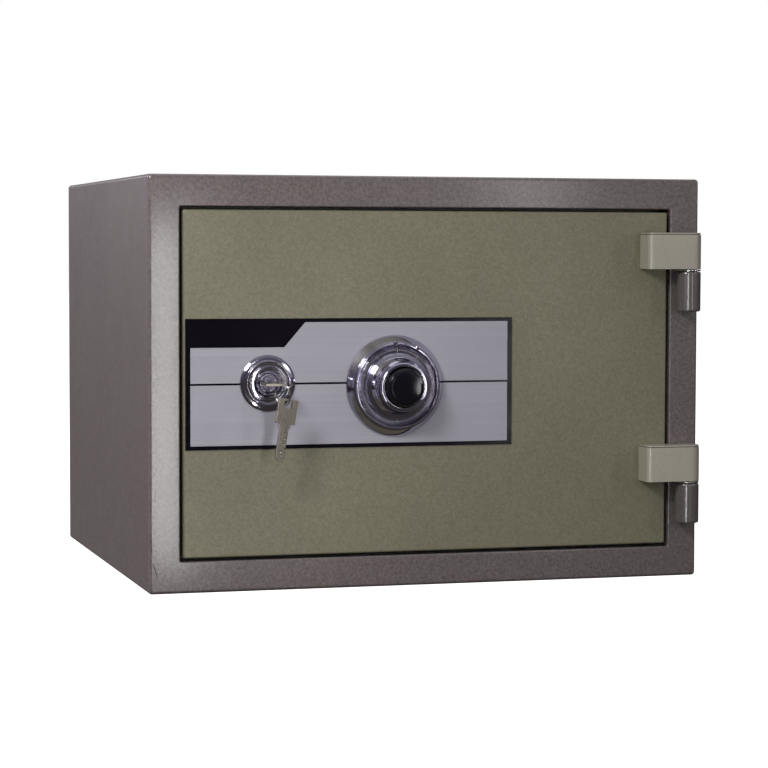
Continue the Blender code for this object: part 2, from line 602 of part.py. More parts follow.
def build_keys(key_pivot, ring_pivot, spare_pivot):
    """The key in the lock, the ring through its bow and the spare key that hangs from the ring."""
    shoulder = BOW_LENGTH + NECK_LENGTH
    key = key_blank("key")
    key.location = place(LOCK_X, PLUG_FACE - GAP - shoulder, LOCK_Z)
    attach(key_pivot, key)

    along, up, normal = ring_axes()
    bpy.ops.mesh.primitive_torus_add(major_radius=RING_RADIUS * MM, minor_radius=RING_WIRE * MM,
                                     major_segments=40, minor_segments=8)
    ring = bpy.context.object
    ring.name = "key_ring"
    bpy.context.collection.objects.unlink(ring)
    link(ring, "key_nickel")
    turn = Matrix((along, up, normal)).transposed().to_4x4()
    ring.matrix_world = Matrix.Translation(place(*RING_CENTRE)) @ turn
    smooth(ring)
    attach(ring_pivot, ring)

    spare = key_blank("spare_key")
    face = Vector((math.sin(SPARE_TURN), -math.cos(SPARE_TURN), 0.0))
    side = Vector((math.cos(SPARE_TURN), math.sin(SPARE_TURN), 0.0))
    down = -math.cos(SPARE_TILT) * Vector((0.0, 0.0, 1.0)) - math.sin(SPARE_TILT) * side
    turn = Matrix((down.cross(face), down, face)).transposed().to_4x4()
    spare.matrix_world = Matrix.Translation(spare_grip() - down * SPARE_GRIP * MM) @ turn
    attach(spare_pivot, spare)


def spare_grip():
    """The point of the ring's wire that the spare key hangs from, in metres."""
    along, up, _ = ring_axes()
    reach = along * math.sin(SPARE_PLACE) - up * math.cos(SPARE_PLACE)
    return place(*RING_CENTRE) + reach * RING_RADIUS * MM


# ---------------------------------------------------------------- combination dial

def build_dial(door, dial_pivot):
    """The fixed dial ring and spindle tube, and the dial, knob, cap and spindle that turn in them."""
    centre = (DIAL_X, DIAL_Z)
    ring = turned("dial_ring", [
        (31.0, -10.8), (31.9, -10.7), (32.4, -9.0), (33.6, -8.4), (38.0, -2.4), (38.0, -1.1), (8.0, -1.1),
        (8.0, -5.2), (30.7, -5.2), (30.7, -10.4),
    ], centre, "chrome", steps=60)
    for number, angle in enumerate((0.0, 28.0), 1):
        mark_x = DIAL_X + 34.4 * math.sin(math.radians(angle))
        mark_z = DIAL_Z + 34.4 * math.cos(math.radians(angle))
        add(ring, rod(f"index_mark_{number}", 1.3, "Y", (mark_x, -8.9, mark_z), 4.0, sides=10))
    tube = rod("spindle_tube", TUBE_RADIUS, "Y", (DIAL_X, -4.0, DIAL_Z), 54.4, "zinc_steel", sides=24)
    cut(tube, rod("tube_bore", SPINDLE_RADIUS + 0.5, "Y", (DIAL_X, -10.0, DIAL_Z), 80.0, sides=20))
    attach(door, ring, tube)

    bore = SPINDLE_RADIUS + GAP
    disc = turned("dial_disc", [
        (28.4, -9.7), (29.4, -9.7), (30.2, -9.0), (30.2, -5.6), (bore, -5.6), (bore, -8.6), (27.9, -8.6),
    ], centre, "chrome", steps=60)
    knob = turned("dial_knob", [
        (15.4, -28.1), (17.6, -28.0), (18.4, -27.1), (18.3, -25.3), (18.6, -20.8), (19.6, -16.3),
        (21.5, -13.3), (24.6, -11.4), (25.2, -10.0), (24.6, -8.9), (bore, -8.9), (bore, -26.8), (14.9, -26.8),
    ], centre, "chrome", steps=48)
    cap = turned("dial_cap", [
        (0.0, -34.1), (11.5, -33.8), (13.3, -33.2), (14.4, -31.3), (14.4, -27.1), (0.0, -27.1),
    ], centre, "black_gloss", steps=40, closed=False)
    spindle = rod("dial_spindle", SPINDLE_RADIUS, "Y", (DIAL_X, -26.3, DIAL_Z), 80.4, "zinc_steel", sides=20)
    wheel = code_wheel("drive_wheel", DRIVE_WHEEL_DEPTH, SPINDLE_RADIUS + GAP, 0.0)
    attach(dial_pivot, disc, knob, cap, spindle, wheel)


def code_wheel(name, depth, bore, gate):
    """A brass wheel of the combination, with the gate in its rim at an angle in degrees."""
    wheel = rod(name, WHEEL_RADIUS, "Y", (DIAL_X, depth, DIAL_Z), WHEEL_THICKNESS, "brass", sides=40)
    cut(wheel, rod(f"{name}_bore", bore, "Y", (DIAL_X, depth - 2.0, DIAL_Z), 8.0, sides=20))
    notch = box(f"{name}_gate", (-2.0, 2.0), (-4.0, 4.0), (-3.0, 3.0))
    notch.matrix_world = (
        Matrix.Translation(place(DIAL_X, depth, DIAL_Z))
        @ Matrix.Rotation(math.radians(gate), 4, "Y")
        @ Matrix.Translation(Vector((0.0, 0.0, WHEEL_RADIUS * MM)))
    )
    return cut(wheel, notch)


def build_wheel_pack(door, wheel_pivots, fence_pivot):
    """The three free wheels, the case round them, and the fence lever that rides over their rims."""
    for number, (depth, gate, wheel_pivot) in enumerate(zip(WHEEL_DEPTHS, WHEEL_GATES, wheel_pivots), 1):
        attach(wheel_pivot, code_wheel(f"wheel_{number}", depth, TUBE_RADIUS + GAP, gate))

    inner, outer = WHEEL_RADIUS + 2.4, WHEEL_RADIUS + 4.0
    case = turned("wheel_case", [
        (0.0, 57.0), (outer, 57.0), (outer, MECHANISM_FACE + GAP), (inner, MECHANISM_FACE + GAP),
        (inner, 55.4), (0.0, 55.4),
    ][::-1], (DIAL_X, DIAL_Z), "zinc_steel", closed=False)
    cut(case, box("case_window", (DIAL_X - 17.0, DIAL_X + 17.0), (MECHANISM_FACE - 2.0, 54.8),
                  (DIAL_Z + 8.0, DIAL_Z + 40.0)))
    pin = rod("fence_pivot_pin", 2.0, "Y", (FENCE_PIVOT_X, MECHANISM_FACE + GAP, FENCE_PIVOT_Z), 14.0,
              "zinc_steel", sides=16)
    add(pin, rod("fence_pin_head", 3.6, "Y", (FENCE_PIVOT_X, 52.4, FENCE_PIVOT_Z), 1.6, sides=16))
    attach(door, case, pin)

    fence_z = DIAL_Z + WHEEL_RADIUS + 0.7
    lever = rod("fence_lever", 5.0, "Y", (FENCE_PIVOT_X, 44.0, FENCE_PIVOT_Z), 8.0, "brass", sides=24)
    reach = Vector((DIAL_X - FENCE_PIVOT_X, 0.0, fence_z + 1.6 - FENCE_PIVOT_Z))
    arm = box("fence_arm", (0.0, reach.length), (45.5, 48.5), (-2.4, 2.4))
    arm.matrix_world = (
        Matrix.Translation(place(FENCE_PIVOT_X, 47.0, FENCE_PIVOT_Z))
        @ Matrix.Rotation(math.atan2(-reach.z, reach.x), 4, "Y")
        @ Matrix.Translation(Vector((reach.length / 2 * MM, 0.0, 0.0)))
    )
    bar = box("fence_bar", (DIAL_X - 1.5, DIAL_X + 1.5), (39.6, 54.0), (fence_z, fence_z + 4.0))
    add(lever, arm, bar)
    cut(lever, rod("fence_bore", 2.3, "Y", (FENCE_PIVOT_X, 40.0, FENCE_PIVOT_Z), 16.0, sides=16))
    attach(fence_pivot, lever)


def main():
    """Build the box, sub-assembly by sub-assembly."""
    door = pivot("door_axis", HINGE_X, HINGE_DEPTH, HEIGHT / 2)
    plug_pivot = pivot("plug_axis", LOCK_X, PLUG_FACE, LOCK_Z, door)
    key_pivot = pivot("key_axis", LOCK_X, PLUG_FACE, LOCK_Z, plug_pivot)
    bow_end = PLUG_FACE - GAP - BOW_LENGTH - NECK_LENGTH
    ring_pivot = pivot("ring_axis", LOCK_X, bow_end + KEY_HOLE_START / 2, LOCK_Z, key_pivot)
    spare_pivot = pivot("spare_axis", 0.0, 0.0, 0.0, ring_pivot)
    spare_pivot.location = spare_grip()
    carriage = pivot("carriage_axis", CARRIAGE_X, BOLT_DEPTH, HEIGHT / 2, door)
    dial_pivot = pivot("dial_axis", DIAL_X, PLATE_FACE, DIAL_Z, door)
    wheel_pivots = [pivot(f"wheel_axis_{number}", DIAL_X, depth, DIAL_Z, door)
                    for number, depth in enumerate(WHEEL_DEPTHS, 1)]
    fence_pivot = pivot("fence_axis", FENCE_PIVOT_X, 47.0, FENCE_PIVOT_Z, door)

    build_casing()
    build_jamb()
    build_liner()
    build_shelf()
    build_hinges(door)
    build_door_shell(door)
    build_trim_plate(door)
    build_mechanism_plate(door)
    build_bolt_work(carriage)
    build_lock(door, plug_pivot)
    build_keys(key_pivot, ring_pivot, spare_pivot)
    build_dial(door, dial_pivot)
    build_wheel_pack(door, wheel_pivots, fence_pivot)


main()
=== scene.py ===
"""The looks of a small fireproof document box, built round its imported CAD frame.

The door is on the -Y side, with its hinges at +X. Sizes in the classes are millimetres: x to the right,
depth into the box from the plane of its front frame, and z up from its base.
"""

import logging
import math
from collections.abc import Callable, Sequence
from dataclasses import dataclass
from enum import Enum

import bmesh
import bpy
from mathutils import Matrix, Vector


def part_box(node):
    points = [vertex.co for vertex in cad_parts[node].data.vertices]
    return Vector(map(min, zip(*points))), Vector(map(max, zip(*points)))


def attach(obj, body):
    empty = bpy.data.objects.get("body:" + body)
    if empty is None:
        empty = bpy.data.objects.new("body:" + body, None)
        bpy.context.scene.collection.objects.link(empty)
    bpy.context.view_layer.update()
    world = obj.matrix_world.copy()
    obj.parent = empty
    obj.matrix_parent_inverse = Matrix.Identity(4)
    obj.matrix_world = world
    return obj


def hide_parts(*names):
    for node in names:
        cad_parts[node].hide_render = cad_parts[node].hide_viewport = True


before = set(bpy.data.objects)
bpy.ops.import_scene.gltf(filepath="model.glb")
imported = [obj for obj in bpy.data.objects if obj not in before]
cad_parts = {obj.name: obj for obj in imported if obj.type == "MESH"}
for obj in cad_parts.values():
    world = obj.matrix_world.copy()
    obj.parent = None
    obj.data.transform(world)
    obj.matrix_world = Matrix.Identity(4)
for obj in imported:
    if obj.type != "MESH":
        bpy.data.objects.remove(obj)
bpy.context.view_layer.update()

LOG = logging.getLogger("document_box")
MM = 0.001
FRONT_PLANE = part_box("outer_casing")[0].y

Pair = tuple[float, float]
Outline = tuple[Pair, ...]
Triple = tuple[float, float, float]
Colour = tuple[float, float, float]
Value = float | int | bool | str | tuple | bpy.types.NodeSocket


class Body(str, Enum):
    """The moving bodies of the frame."""

    ROOT = "root"
    DOOR = "door"
    DIAL = "dial"
    PLUG = "plug"
    KEY = "key"
    RING = "ring"
    SPARE = "spare"
    BOLTS = "bolts"


class Slot(str, Enum):
    """The record's material slots."""

    BODY_PAINT = "body_paint"
    DOOR_PAINT = "door_paint"
    TRIM_PRINT = "trim_print"
    CHROME = "chrome"
    BLACK_GLOSS = "black_gloss"
    KEY_NICKEL = "key_nickel"
    ZINC_STEEL = "zinc_steel"
    BRASS = "brass"
    LINER_PLASTIC = "liner_plastic"
    INSULATION = "insulation"
    SEAL_RUBBER = "seal_rubber"


class Axis(Enum):
    """The direction that a turned or drawn-out piece runs in."""

    ACROSS = "x"
    INWARDS = "depth"
    UP = "z"

    def at(self, first: float, second: float, along: float) -> Vector:
        """The point in metres at a place given across and along the axis.

        Args:
            first: the first place across the axis, in millimetres.
            second: the second place across it.
            along: the place along it.

        Returns:
            The point.
        """
        if self is Axis.INWARDS:
            return place(first, along, second)
        if self is Axis.UP:
            return place(first, second, along)
        return place(along, first, second)


def place(x: float, depth: float, z: float) -> Vector:
    """The point in metres at x, depth and z in millimetres."""
    return Vector((x * MM, FRONT_PLANE + depth * MM, z * MM))


def node_centre(node: str) -> Triple:
    """The middle of a CAD node's box.

    Args:
        node: the node's name.

    Returns:
        Its x, depth and z in millimetres.
    """
    low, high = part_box(node)
    middle = (low + high) / 2
    return middle.x / MM, (middle.y - FRONT_PLANE) / MM, middle.z / MM


# ---------------------------------------------------------------- node trees

class Sketch:
    """Adds and joins the nodes of one shader or geometry tree."""

    def __init__(self, tree: bpy.types.NodeTree) -> None:
        """Work on this tree."""
        self.tree = tree

    def add(self, kind: str, values: dict[str | int, Value] | None = None, **settings: Value) -> bpy.types.Node:
        """Add a node.

        Args:
            kind: the node's type name.
            values: what each input holds, or the socket that feeds it.
            settings: the node's own properties.

        Returns:
            The new node.
        """
        node = self.tree.nodes.new(kind)
        for key, value in settings.items():
            setattr(node, key, value)
        for key, value in (values or {}).items():
            if isinstance(value, bpy.types.NodeSocket):
                self.tree.links.new(value, node.inputs[key])
            else:
                node.inputs[key].default_value = value
        return node

    def math(self, operation: str, *values: Value, clamp: bool = False) -> bpy.types.NodeSocket:
        """The result of a Math node on these values."""
        kind = "ShaderNodeMath"
        return self.add(kind, dict(enumerate(values)), operation=operation, use_clamp=clamp).outputs[0]

    def vector_math(self, operation: str, *values: Value) -> bpy.types.Node:
        """A Vector Math node on these values."""
        return self.add("ShaderNodeVectorMath", dict(enumerate(values)), operation=operation)

    def spread(self, value: Value, low: float, high: float, to_low: float = 0.0,
               to_high: float = 1.0) -> bpy.types.NodeSocket:
        """A value taken from one range to another and kept inside it.

        Args:
            value: the value, or the socket that gives it.
            low: the start of its own range.
            high: the end of its own range.
            to_low: what the start becomes.
            to_high: what the end becomes.

        Returns:
            The result's socket.
        """
        return self.add("ShaderNodeMapRange", {
            "Value": value, "From Min": low, "From Max": high, "To Min": to_low, "To Max": to_high,
        }).outputs["Result"]

    def blend(self, factor: Value, first: Value, second: Value, mode: str = "MIX") -> bpy.types.NodeSocket:
        """Two colours blended by a factor.

        Args:
            factor: the second colour's share.
            first: the first colour.
            second: the second colour.
            mode: how they are blended.

        Returns:
            The result's socket.
        """
        node = self.add("ShaderNodeMix", data_type="RGBA", blend_type=mode)
        for socket, value in ((node.inputs[0], factor), (node.inputs[6], first), (node.inputs[7], second)):
            if isinstance(value, bpy.types.NodeSocket):
                self.tree.links.new(value, socket)
            elif isinstance(value, tuple):
                socket.default_value = (*value, 1.0)
            else:
                socket.default_value = value
        return node.outputs[2]

    def noise(self, vector: Value, scale: Value, detail: float = 2.0,
              roughness: float = 0.5) -> bpy.types.NodeSocket:
        """A noise texture's value.

        Args:
            vector: where it is read.
            scale: how fine it is.
            detail: its number of finer layers.
            roughness: the strength of those layers.

        Returns:
            The value's socket.
        """
        return self.add("ShaderNodeTexNoise", {
            "Vector": vector, "Scale": scale, "Detail": detail, "Roughness": roughness,
        }).outputs[0]


def new_group(name: str, kind: str, inputs: Sequence[tuple[str, str, Value]],
              outputs: Sequence[tuple[str, str]]) -> tuple[Sketch, dict[str, bpy.types.NodeSocket], bpy.types.Node]:
    """Start a node group.

    Args:
        name: the group's name.
        kind: the tree's type.
        inputs: name, socket type and default value of each input. A default of None is left alone.
        outputs: name and socket type of each output.

    Returns:
        The sketch of its tree, its inputs' sockets by name, and its output node.
    """
    tree = bpy.data.node_groups.new(name, kind)
    for label, socket_type, default in inputs:
        socket = tree.interface.new_socket(name=label, in_out="INPUT", socket_type=socket_type)
        if default is not None:
            socket.default_value = default
    for label, socket_type in outputs:
        tree.interface.new_socket(name=label, in_out="OUTPUT", socket_type=socket_type)
    sketch = Sketch(tree)
    source = sketch.add("NodeGroupInput")
    sink = sketch.add("NodeGroupOutput")
    return sketch, {label: source.outputs[label] for label, _, _ in inputs}, sink


FLOAT, VECTOR = "NodeSocketFloat", "NodeSocketVector"


def pebble_effect() -> bpy.types.NodeTree:
    """The small pebbles of a textured paint: their height, and specks of lighter and darker colour.

    Returns:
        The node group.
    """
    sketch, given, sink = new_group("pebble_texture", "ShaderNodeTree", [
        ("Vector", VECTOR, None), ("Density", FLOAT, 900.0), ("Sharpness", FLOAT, 0.5),
    ], [("Height", FLOAT), ("Speck", FLOAT)])
    cells = sketch.add("ShaderNodeTexVoronoi", {
        "Vector": given["Vector"], "Scale": given["Density"], "Smoothness": 0.8,
    }, feature="SMOOTH_F1").outputs["Distance"]
    swell = sketch.noise(given["Vector"], sketch.math("MULTIPLY", given["Density"], 0.55), 3.0, 0.6)
    domes = sketch.math("MULTIPLY", sketch.math("SUBTRACT", 1.0, cells), given["Sharpness"])
    height = sketch.math("MULTIPLY_ADD", swell, sketch.math("SUBTRACT", 1.4, given["Sharpness"]), domes)
    specks = sketch.noise(given["Vector"], sketch.math("MULTIPLY", given["Density"], 0.8), 4.0, 0.75)
    sketch.tree.links.new(height, sink.inputs["Height"])
    sketch.tree.links.new(sketch.spread(specks, 0.3, 0.7), sink.inputs["Speck"])
    return sketch.tree


def wear_effect() -> bpy.types.NodeTree:
    """Wear along edges: strong where the surface turns sharply, and broken up by a fine noise.

    Returns:
        The node group.
    """
    sketch, given, sink = new_group("edge_wear", "ShaderNodeTree", [
        ("Vector", VECTOR, None), ("Radius", FLOAT, 0.0012), ("Amount", FLOAT, 0.5),
    ], [("Mask", FLOAT)])
    rounded_normal = sketch.add("ShaderNodeBevel", {"Radius": given["Radius"]}, samples=4).outputs["Normal"]
    plain_normal = sketch.add("ShaderNodeNewGeometry").outputs["Normal"]
    facing = sketch.vector_math("DOT_PRODUCT", rounded_normal, plain_normal).outputs["Value"]
    turning = sketch.spread(sketch.math("SUBTRACT", 1.0, facing), 0.02, 0.25)
    patches = sketch.spread(sketch.noise(given["Vector"], 260.0, 5.0, 0.7), 0.42, 0.62)
    mask = sketch.math("MULTIPLY", sketch.math("MULTIPLY", turning, patches), given["Amount"], clamp=True)
    sketch.tree.links.new(mask, sink.inputs["Mask"])
    return sketch.tree


def grain_effect() -> bpy.types.NodeTree:
    """Brushed or drawn grain: a noise that is stretched along one direction.

    Returns:
        The node group.
    """
    sketch, given, sink = new_group("metal_grain", "ShaderNodeTree", [
        ("Vector", VECTOR, None), ("Density", VECTOR, (40.0, 2500.0, 2500.0)),
    ], [("Height", FLOAT), ("Streak", FLOAT)])
    stretched = sketch.vector_math("MULTIPLY", given["Vector"], given["Density"]).outputs["Vector"]
    fine = sketch.noise(stretched, 1.0, 3.0, 0.6)
    broad = sketch.noise(stretched, 0.22, 2.0, 0.5)
    sketch.tree.links.new(fine, sink.inputs["Height"])
    sketch.tree.links.new(sketch.spread(broad, 0.35, 0.65), sink.inputs["Streak"])
    return sketch.tree


def lathe_effect() -> bpy.types.NodeTree:
    """Fine turning marks in rings round a front-to-back axis.

    Returns:
        The node group.
    """
    sketch, given, sink = new_group("turning_marks", "ShaderNodeTree", [
        ("Vector", VECTOR, None), ("Centre", VECTOR, (0.0, 0.0, 0.0)), ("Density", FLOAT, 3500.0),
    ], [("Height", FLOAT)])
    offset = sketch.vector_math("SUBTRACT", given["Vector"], given["Centre"]).outputs["Vector"]
    flat = sketch.vector_math("MULTIPLY", offset, (1.0, 0.0, 1.0)).outputs["Vector"]
    radius = sketch.vector_math("LENGTH", flat).outputs["Value"]
    rings = sketch.add("ShaderNodeTexNoise", {
        "W": sketch.math("MULTIPLY", radius, given["Density"]), "Scale": 1.0, "Detail": 2.0,
    }, noise_dimensions="1D").outputs[0]
    sketch.tree.links.new(rings, sink.inputs["Height"])
    return sketch.tree


def haze_effect() -> bpy.types.NodeTree:
    """Broad soft patches of haze, dust and handling, and small dust specks.

    Returns:
        The node group.
    """
    sketch, given, sink = new_group("haze_and_dust", "ShaderNodeTree", [
        ("Vector", VECTOR, None), ("Density", FLOAT, 18.0),
    ], [("Haze", FLOAT), ("Dust", FLOAT)])
    warp = sketch.noise(given["Vector"], given["Density"], 5.0, 0.55)
    dust = sketch.noise(given["Vector"], sketch.math("MULTIPLY", given["Density"], 45.0), 2.0, 0.5)
    sketch.tree.links.new(sketch.spread(warp, 0.35, 0.68), sink.inputs["Haze"])
    sketch.tree.links.new(sketch.spread(dust, 0.66, 0.78), sink.inputs["Dust"])
    return sketch.tree


class Effect(Enum):
    """The effects that several finishes share, each a shader node group."""

    PEBBLE = "pebble_texture"
    WEAR = "edge_wear"
    GRAIN = "metal_grain"
    TURNING = "turning_marks"
    HAZE = "haze_and_dust"

    def tree(self) -> bpy.types.NodeTree:
        """The effect's node group, built the first time that it is asked for.

        Returns:
            The node group.
        """
        makers: dict[Effect, Callable[[], bpy.types.NodeTree]] = {
            Effect.PEBBLE: pebble_effect, Effect.WEAR: wear_effect, Effect.GRAIN: grain_effect,
            Effect.TURNING: lathe_effect, Effect.HAZE: haze_effect,
        }
        return bpy.data.node_groups.get(self.value) or makers[self]()


# ---------------------------------------------------------------- finishes

@dataclass(frozen=True)
class Finish:
    """What every finish has: a name, the record's slot, a colour and the shader's plain values."""

    name: str
    slot: Slot
    colour: Colour
    metallic: float = 0.0
    roughness: float = 0.4
    roughness_spread: float = 0.12
    specular: float = 0.5
    coat: float = 0.0
    coat_roughness: float = 0.1

    def material(self) -> bpy.types.Material:
        """The finish as a material, built the first time that it is asked for.

        Returns:
            The material.
        """
        found = bpy.data.materials.get(self.name)
        if found is not None:
            return found
        material = bpy.data.materials.new(self.name)
        material.use_nodes = True
        material.diffuse_color = (*self.colour, 1.0)
        sketch = Sketch(material.node_tree)
        shader = material.node_tree.nodes["Principled BSDF"]
        shader.inputs["Metallic"].default_value = self.metallic
        shader.inputs["Coat Weight"].default_value = self.coat
        shader.inputs["Coat Roughness"].default_value = self.coat_roughness
        shader.inputs["Specular IOR Level"].default_value = self.specular
        place_socket = sketch.add("ShaderNodeTexCoord").outputs["Object"]
        self.wire(sketch, shader, place_socket)
        return material

    def effect(self, sketch: Sketch, effect: Effect, **values: Value) -> bpy.types.Node:
        """Place a shared effect's node group in the material, with this finish's own values.

        Args:
            sketch: the material's tree.
            effect: the effect.
            values: the group's inputs, or the sockets that feed them.

        Returns:
            The group's node.
        """
        node = sketch.add("ShaderNodeGroup", node_tree=effect.tree())
        for key, value in values.items():
            socket = node.inputs[key.title()]
            if isinstance(value, bpy.types.NodeSocket):
                sketch.tree.links.new(value, socket)
            else:
                socket.default_value = value
        return node

    def bump(self, sketch: Sketch, shader: bpy.types.Node, height: Value, depth_mm: float) -> None:
        """Feed the shader's normal with a bump of this depth."""
        node = sketch.add("ShaderNodeBump", {"Height": height, "Distance": depth_mm * MM, "Strength": 1.0})
        sketch.tree.links.new(node.outputs["Normal"], shader.inputs["Normal"])

    def vary_roughness(self, sketch: Sketch, shader: bpy.types.Node, mask: Value) -> None:
        """Spread the roughness round its middle value by a mask."""
        low, high = self.roughness - self.roughness_spread, self.roughness + self.roughness_spread
        sketch.tree.links.new(sketch.spread(mask, 0.0, 1.0, low, high), shader.inputs["Roughness"])

    def wire(self, sketch: Sketch, shader: bpy.types.Node, where: bpy.types.NodeSocket) -> None:
        """Join the finish's nodes to its shader."""
        raise NotImplementedError


@dataclass(frozen=True)
class PebblePaint(Finish):
    """Textured powder paint on sheet steel, with bare metal showing through where edges rub."""

    second_colour: Colour = (0.2, 0.2, 0.2)
    worn_colour: Colour = (0.34, 0.33, 0.32)
    density: float = 900.0
    sharpness: float = 0.5
    depth_mm: float = 0.05
    wear: float = 0.4

    def wire(self, sketch: Sketch, shader: bpy.types.Node, where: bpy.types.NodeSocket) -> None:
        """Pebbles give the bump, their specks and a broad haze the colour, and wear lightens edges.

        Args:
            sketch: the material's tree.
            shader: its shader.
            where: the object's own coordinates.
        """
        pebble = self.effect(sketch, Effect.PEBBLE, vector=where, density=self.density,
                             sharpness=self.sharpness)
        haze = self.effect(sketch, Effect.HAZE, vector=where, density=9.0)
        wear = self.effect(sketch, Effect.WEAR, vector=where, radius=0.0012, amount=self.wear)
        paint = sketch.blend(pebble.outputs["Speck"], self.colour, self.second_colour)
        paint = sketch.blend(sketch.math("MULTIPLY", haze.outputs["Haze"], 0.12), paint, (0.0, 0.0, 0.0))
        paint = sketch.blend(sketch.math("MULTIPLY", haze.outputs["Dust"], 0.10), paint, (0.6, 0.58, 0.55))
        worn = sketch.blend(wear.outputs["Mask"], paint, self.worn_colour)
        sketch.tree.links.new(worn, shader.inputs["Base Color"])
        self.vary_roughness(sketch, shader, haze.outputs["Haze"])
        self.bump(sketch, shader, pebble.outputs["Height"], self.depth_mm)


@dataclass(frozen=True)
class PlatedMetal(Finish):
    """Polished plating on a turned piece, with faint turning marks and a film of handling."""

    shade: Colour = (0.4, 0.4, 0.4)
    centre: Triple = (0.0, 0.0, 0.0)
    mark_depth_mm: float = 0.0012

    def wire(self, sketch: Sketch, shader: bpy.types.Node, where: bpy.types.NodeSocket) -> None:
        """Turning marks give the bump, and haze dulls the colour and the polish.

        Args:
            sketch: the material's tree.
            shader: its shader.
            where: the object's own coordinates.
        """
        marks = self.effect(sketch, Effect.TURNING, vector=where, centre=self.centre)
        haze = self.effect(sketch, Effect.HAZE, vector=where, density=55.0)
        wear = self.effect(sketch, Effect.WEAR, vector=where, radius=0.0005, amount=0.5)
        plate = sketch.blend(sketch.math("MULTIPLY", haze.outputs["Haze"], 0.5), self.colour, self.shade)
        plate = sketch.blend(wear.outputs["Mask"], plate, tuple(min(1.0, c * 1.35) for c in self.colour))
        sketch.tree.links.new(plate, shader.inputs["Base Color"])
        self.vary_roughness(sketch, shader, haze.outputs["Haze"])
        self.bump(sketch, shader, marks.outputs["Height"], self.mark_depth_mm)


@dataclass(frozen=True)
class DrawnMetal(Finish):
    """Metal with a straight grain: cut, rolled or brushed."""

    shade: Colour = (0.3, 0.3, 0.3)
    grain: Triple = (60.0, 2500.0, 2500.0)
    grain_depth_mm: float = 0.004
    wear: float = 0.6
    wear_radius: float = 0.0006
    worn_colour: Colour = (0.7, 0.7, 0.68)

    def wire(self, sketch: Sketch, shader: bpy.types.Node, where: bpy.types.NodeSocket) -> None:
        """Grain gives the bump and streaks the colour, haze mottles it and wear brightens edges.

        Args:
            sketch: the material's tree.
            shader: its shader.
            where: the object's own coordinates.
        """
        grain = self.effect(sketch, Effect.GRAIN, vector=where, density=self.grain)
        haze = self.effect(sketch, Effect.HAZE, vector=where, density=40.0)
        wear = self.effect(sketch, Effect.WEAR, vector=where, radius=self.wear_radius, amount=self.wear)
        streaks = sketch.math("MULTIPLY", grain.outputs["Streak"], 0.55)
        metal = sketch.blend(streaks, self.colour, self.shade)
        metal = sketch.blend(sketch.math("MULTIPLY", haze.outputs["Haze"], 0.4), metal, self.shade)
        metal = sketch.blend(wear.outputs["Mask"], metal, self.worn_colour)
        sketch.tree.links.new(metal, shader.inputs["Base Color"])
        self.vary_roughness(sketch, shader, grain.outputs["Streak"])
        self.bump(sketch, shader, grain.outputs["Height"], self.grain_depth_mm)


@dataclass(frozen=True)
class MouldedPlastic(Finish):
    """Moulded plastic or rubber, with a fine spark texture, dust and scuffed edges."""

    scuffed: Colour = (0.45, 0.45, 0.44)
    dust: float = 0.25
    density: float = 1800.0
    depth_mm: float = 0.012

    def wire(self, sketch: Sketch, shader: bpy.types.Node, where: bpy.types.NodeSocket) -> None:
        """A fine pebble gives the bump, and dust and scuffs lighten the colour.

        Args:
            sketch: the material's tree.
            shader: its shader.
            where: the object's own coordinates.
        """
        pebble = self.effect(sketch, Effect.PEBBLE, vector=where, density=self.density, sharpness=0.3)
        haze = self.effect(sketch, Effect.HAZE, vector=where, density=22.0)
        wear = self.effect(sketch, Effect.WEAR, vector=where, radius=0.001, amount=0.35)
        plain = sketch.blend(sketch.math("MULTIPLY", haze.outputs["Haze"], 0.22), self.colour, self.scuffed)
        plain = sketch.blend(sketch.math("MULTIPLY", haze.outputs["Dust"], self.dust), plain, (0.55, 0.53, 0.50))
        sketch.tree.links.new(sketch.blend(wear.outputs["Mask"], plain, self.scuffed),
                              shader.inputs["Base Color"])
        self.vary_roughness(sketch, shader, haze.outputs["Haze"])
        self.bump(sketch, shader, pebble.outputs["Height"], self.depth_mm)


@dataclass(frozen=True)
class CastConcrete(Finish):
    """Lightweight concrete cast as insulation, with flakes of mineral and small pits."""

    flake: Colour = (0.5, 0.42, 0.3)

    def wire(self, sketch: Sketch, shader: bpy.types.Node, where: bpy.types.NodeSocket) -> None:
        """Flakes and cloudy patches give the colour, and pits the bump.

        Args:
            sketch: the material's tree.
            shader: its shader.
            where: the object's own coordinates.
        """
        pebble = self.effect(sketch, Effect.PEBBLE, vector=where, density=260.0, sharpness=0.9)
        haze = self.effect(sketch, Effect.HAZE, vector=where, density=14.0)
        base = sketch.blend(sketch.math("MULTIPLY", haze.outputs["Haze"], 0.3), self.colour, self.flake)
        cast = sketch.blend(sketch.math("MULTIPLY", pebble.outputs["Speck"], 0.5), base, self.flake)
        sketch.tree.links.new(cast, shader.inputs["Base Color"])
        self.vary_roughness(sketch, shader, pebble.outputs["Speck"])
        self.bump(sketch, shader, pebble.outputs["Height"], 0.5)


def dial_axis() -> Triple:
    """The dial's middle, in metres."""
    return tuple(place(*node_centre("dial_cap")))


def lock_axis() -> Triple:
    """The lock's middle, in metres."""
    return tuple(place(*node_centre("lock_rosette")))


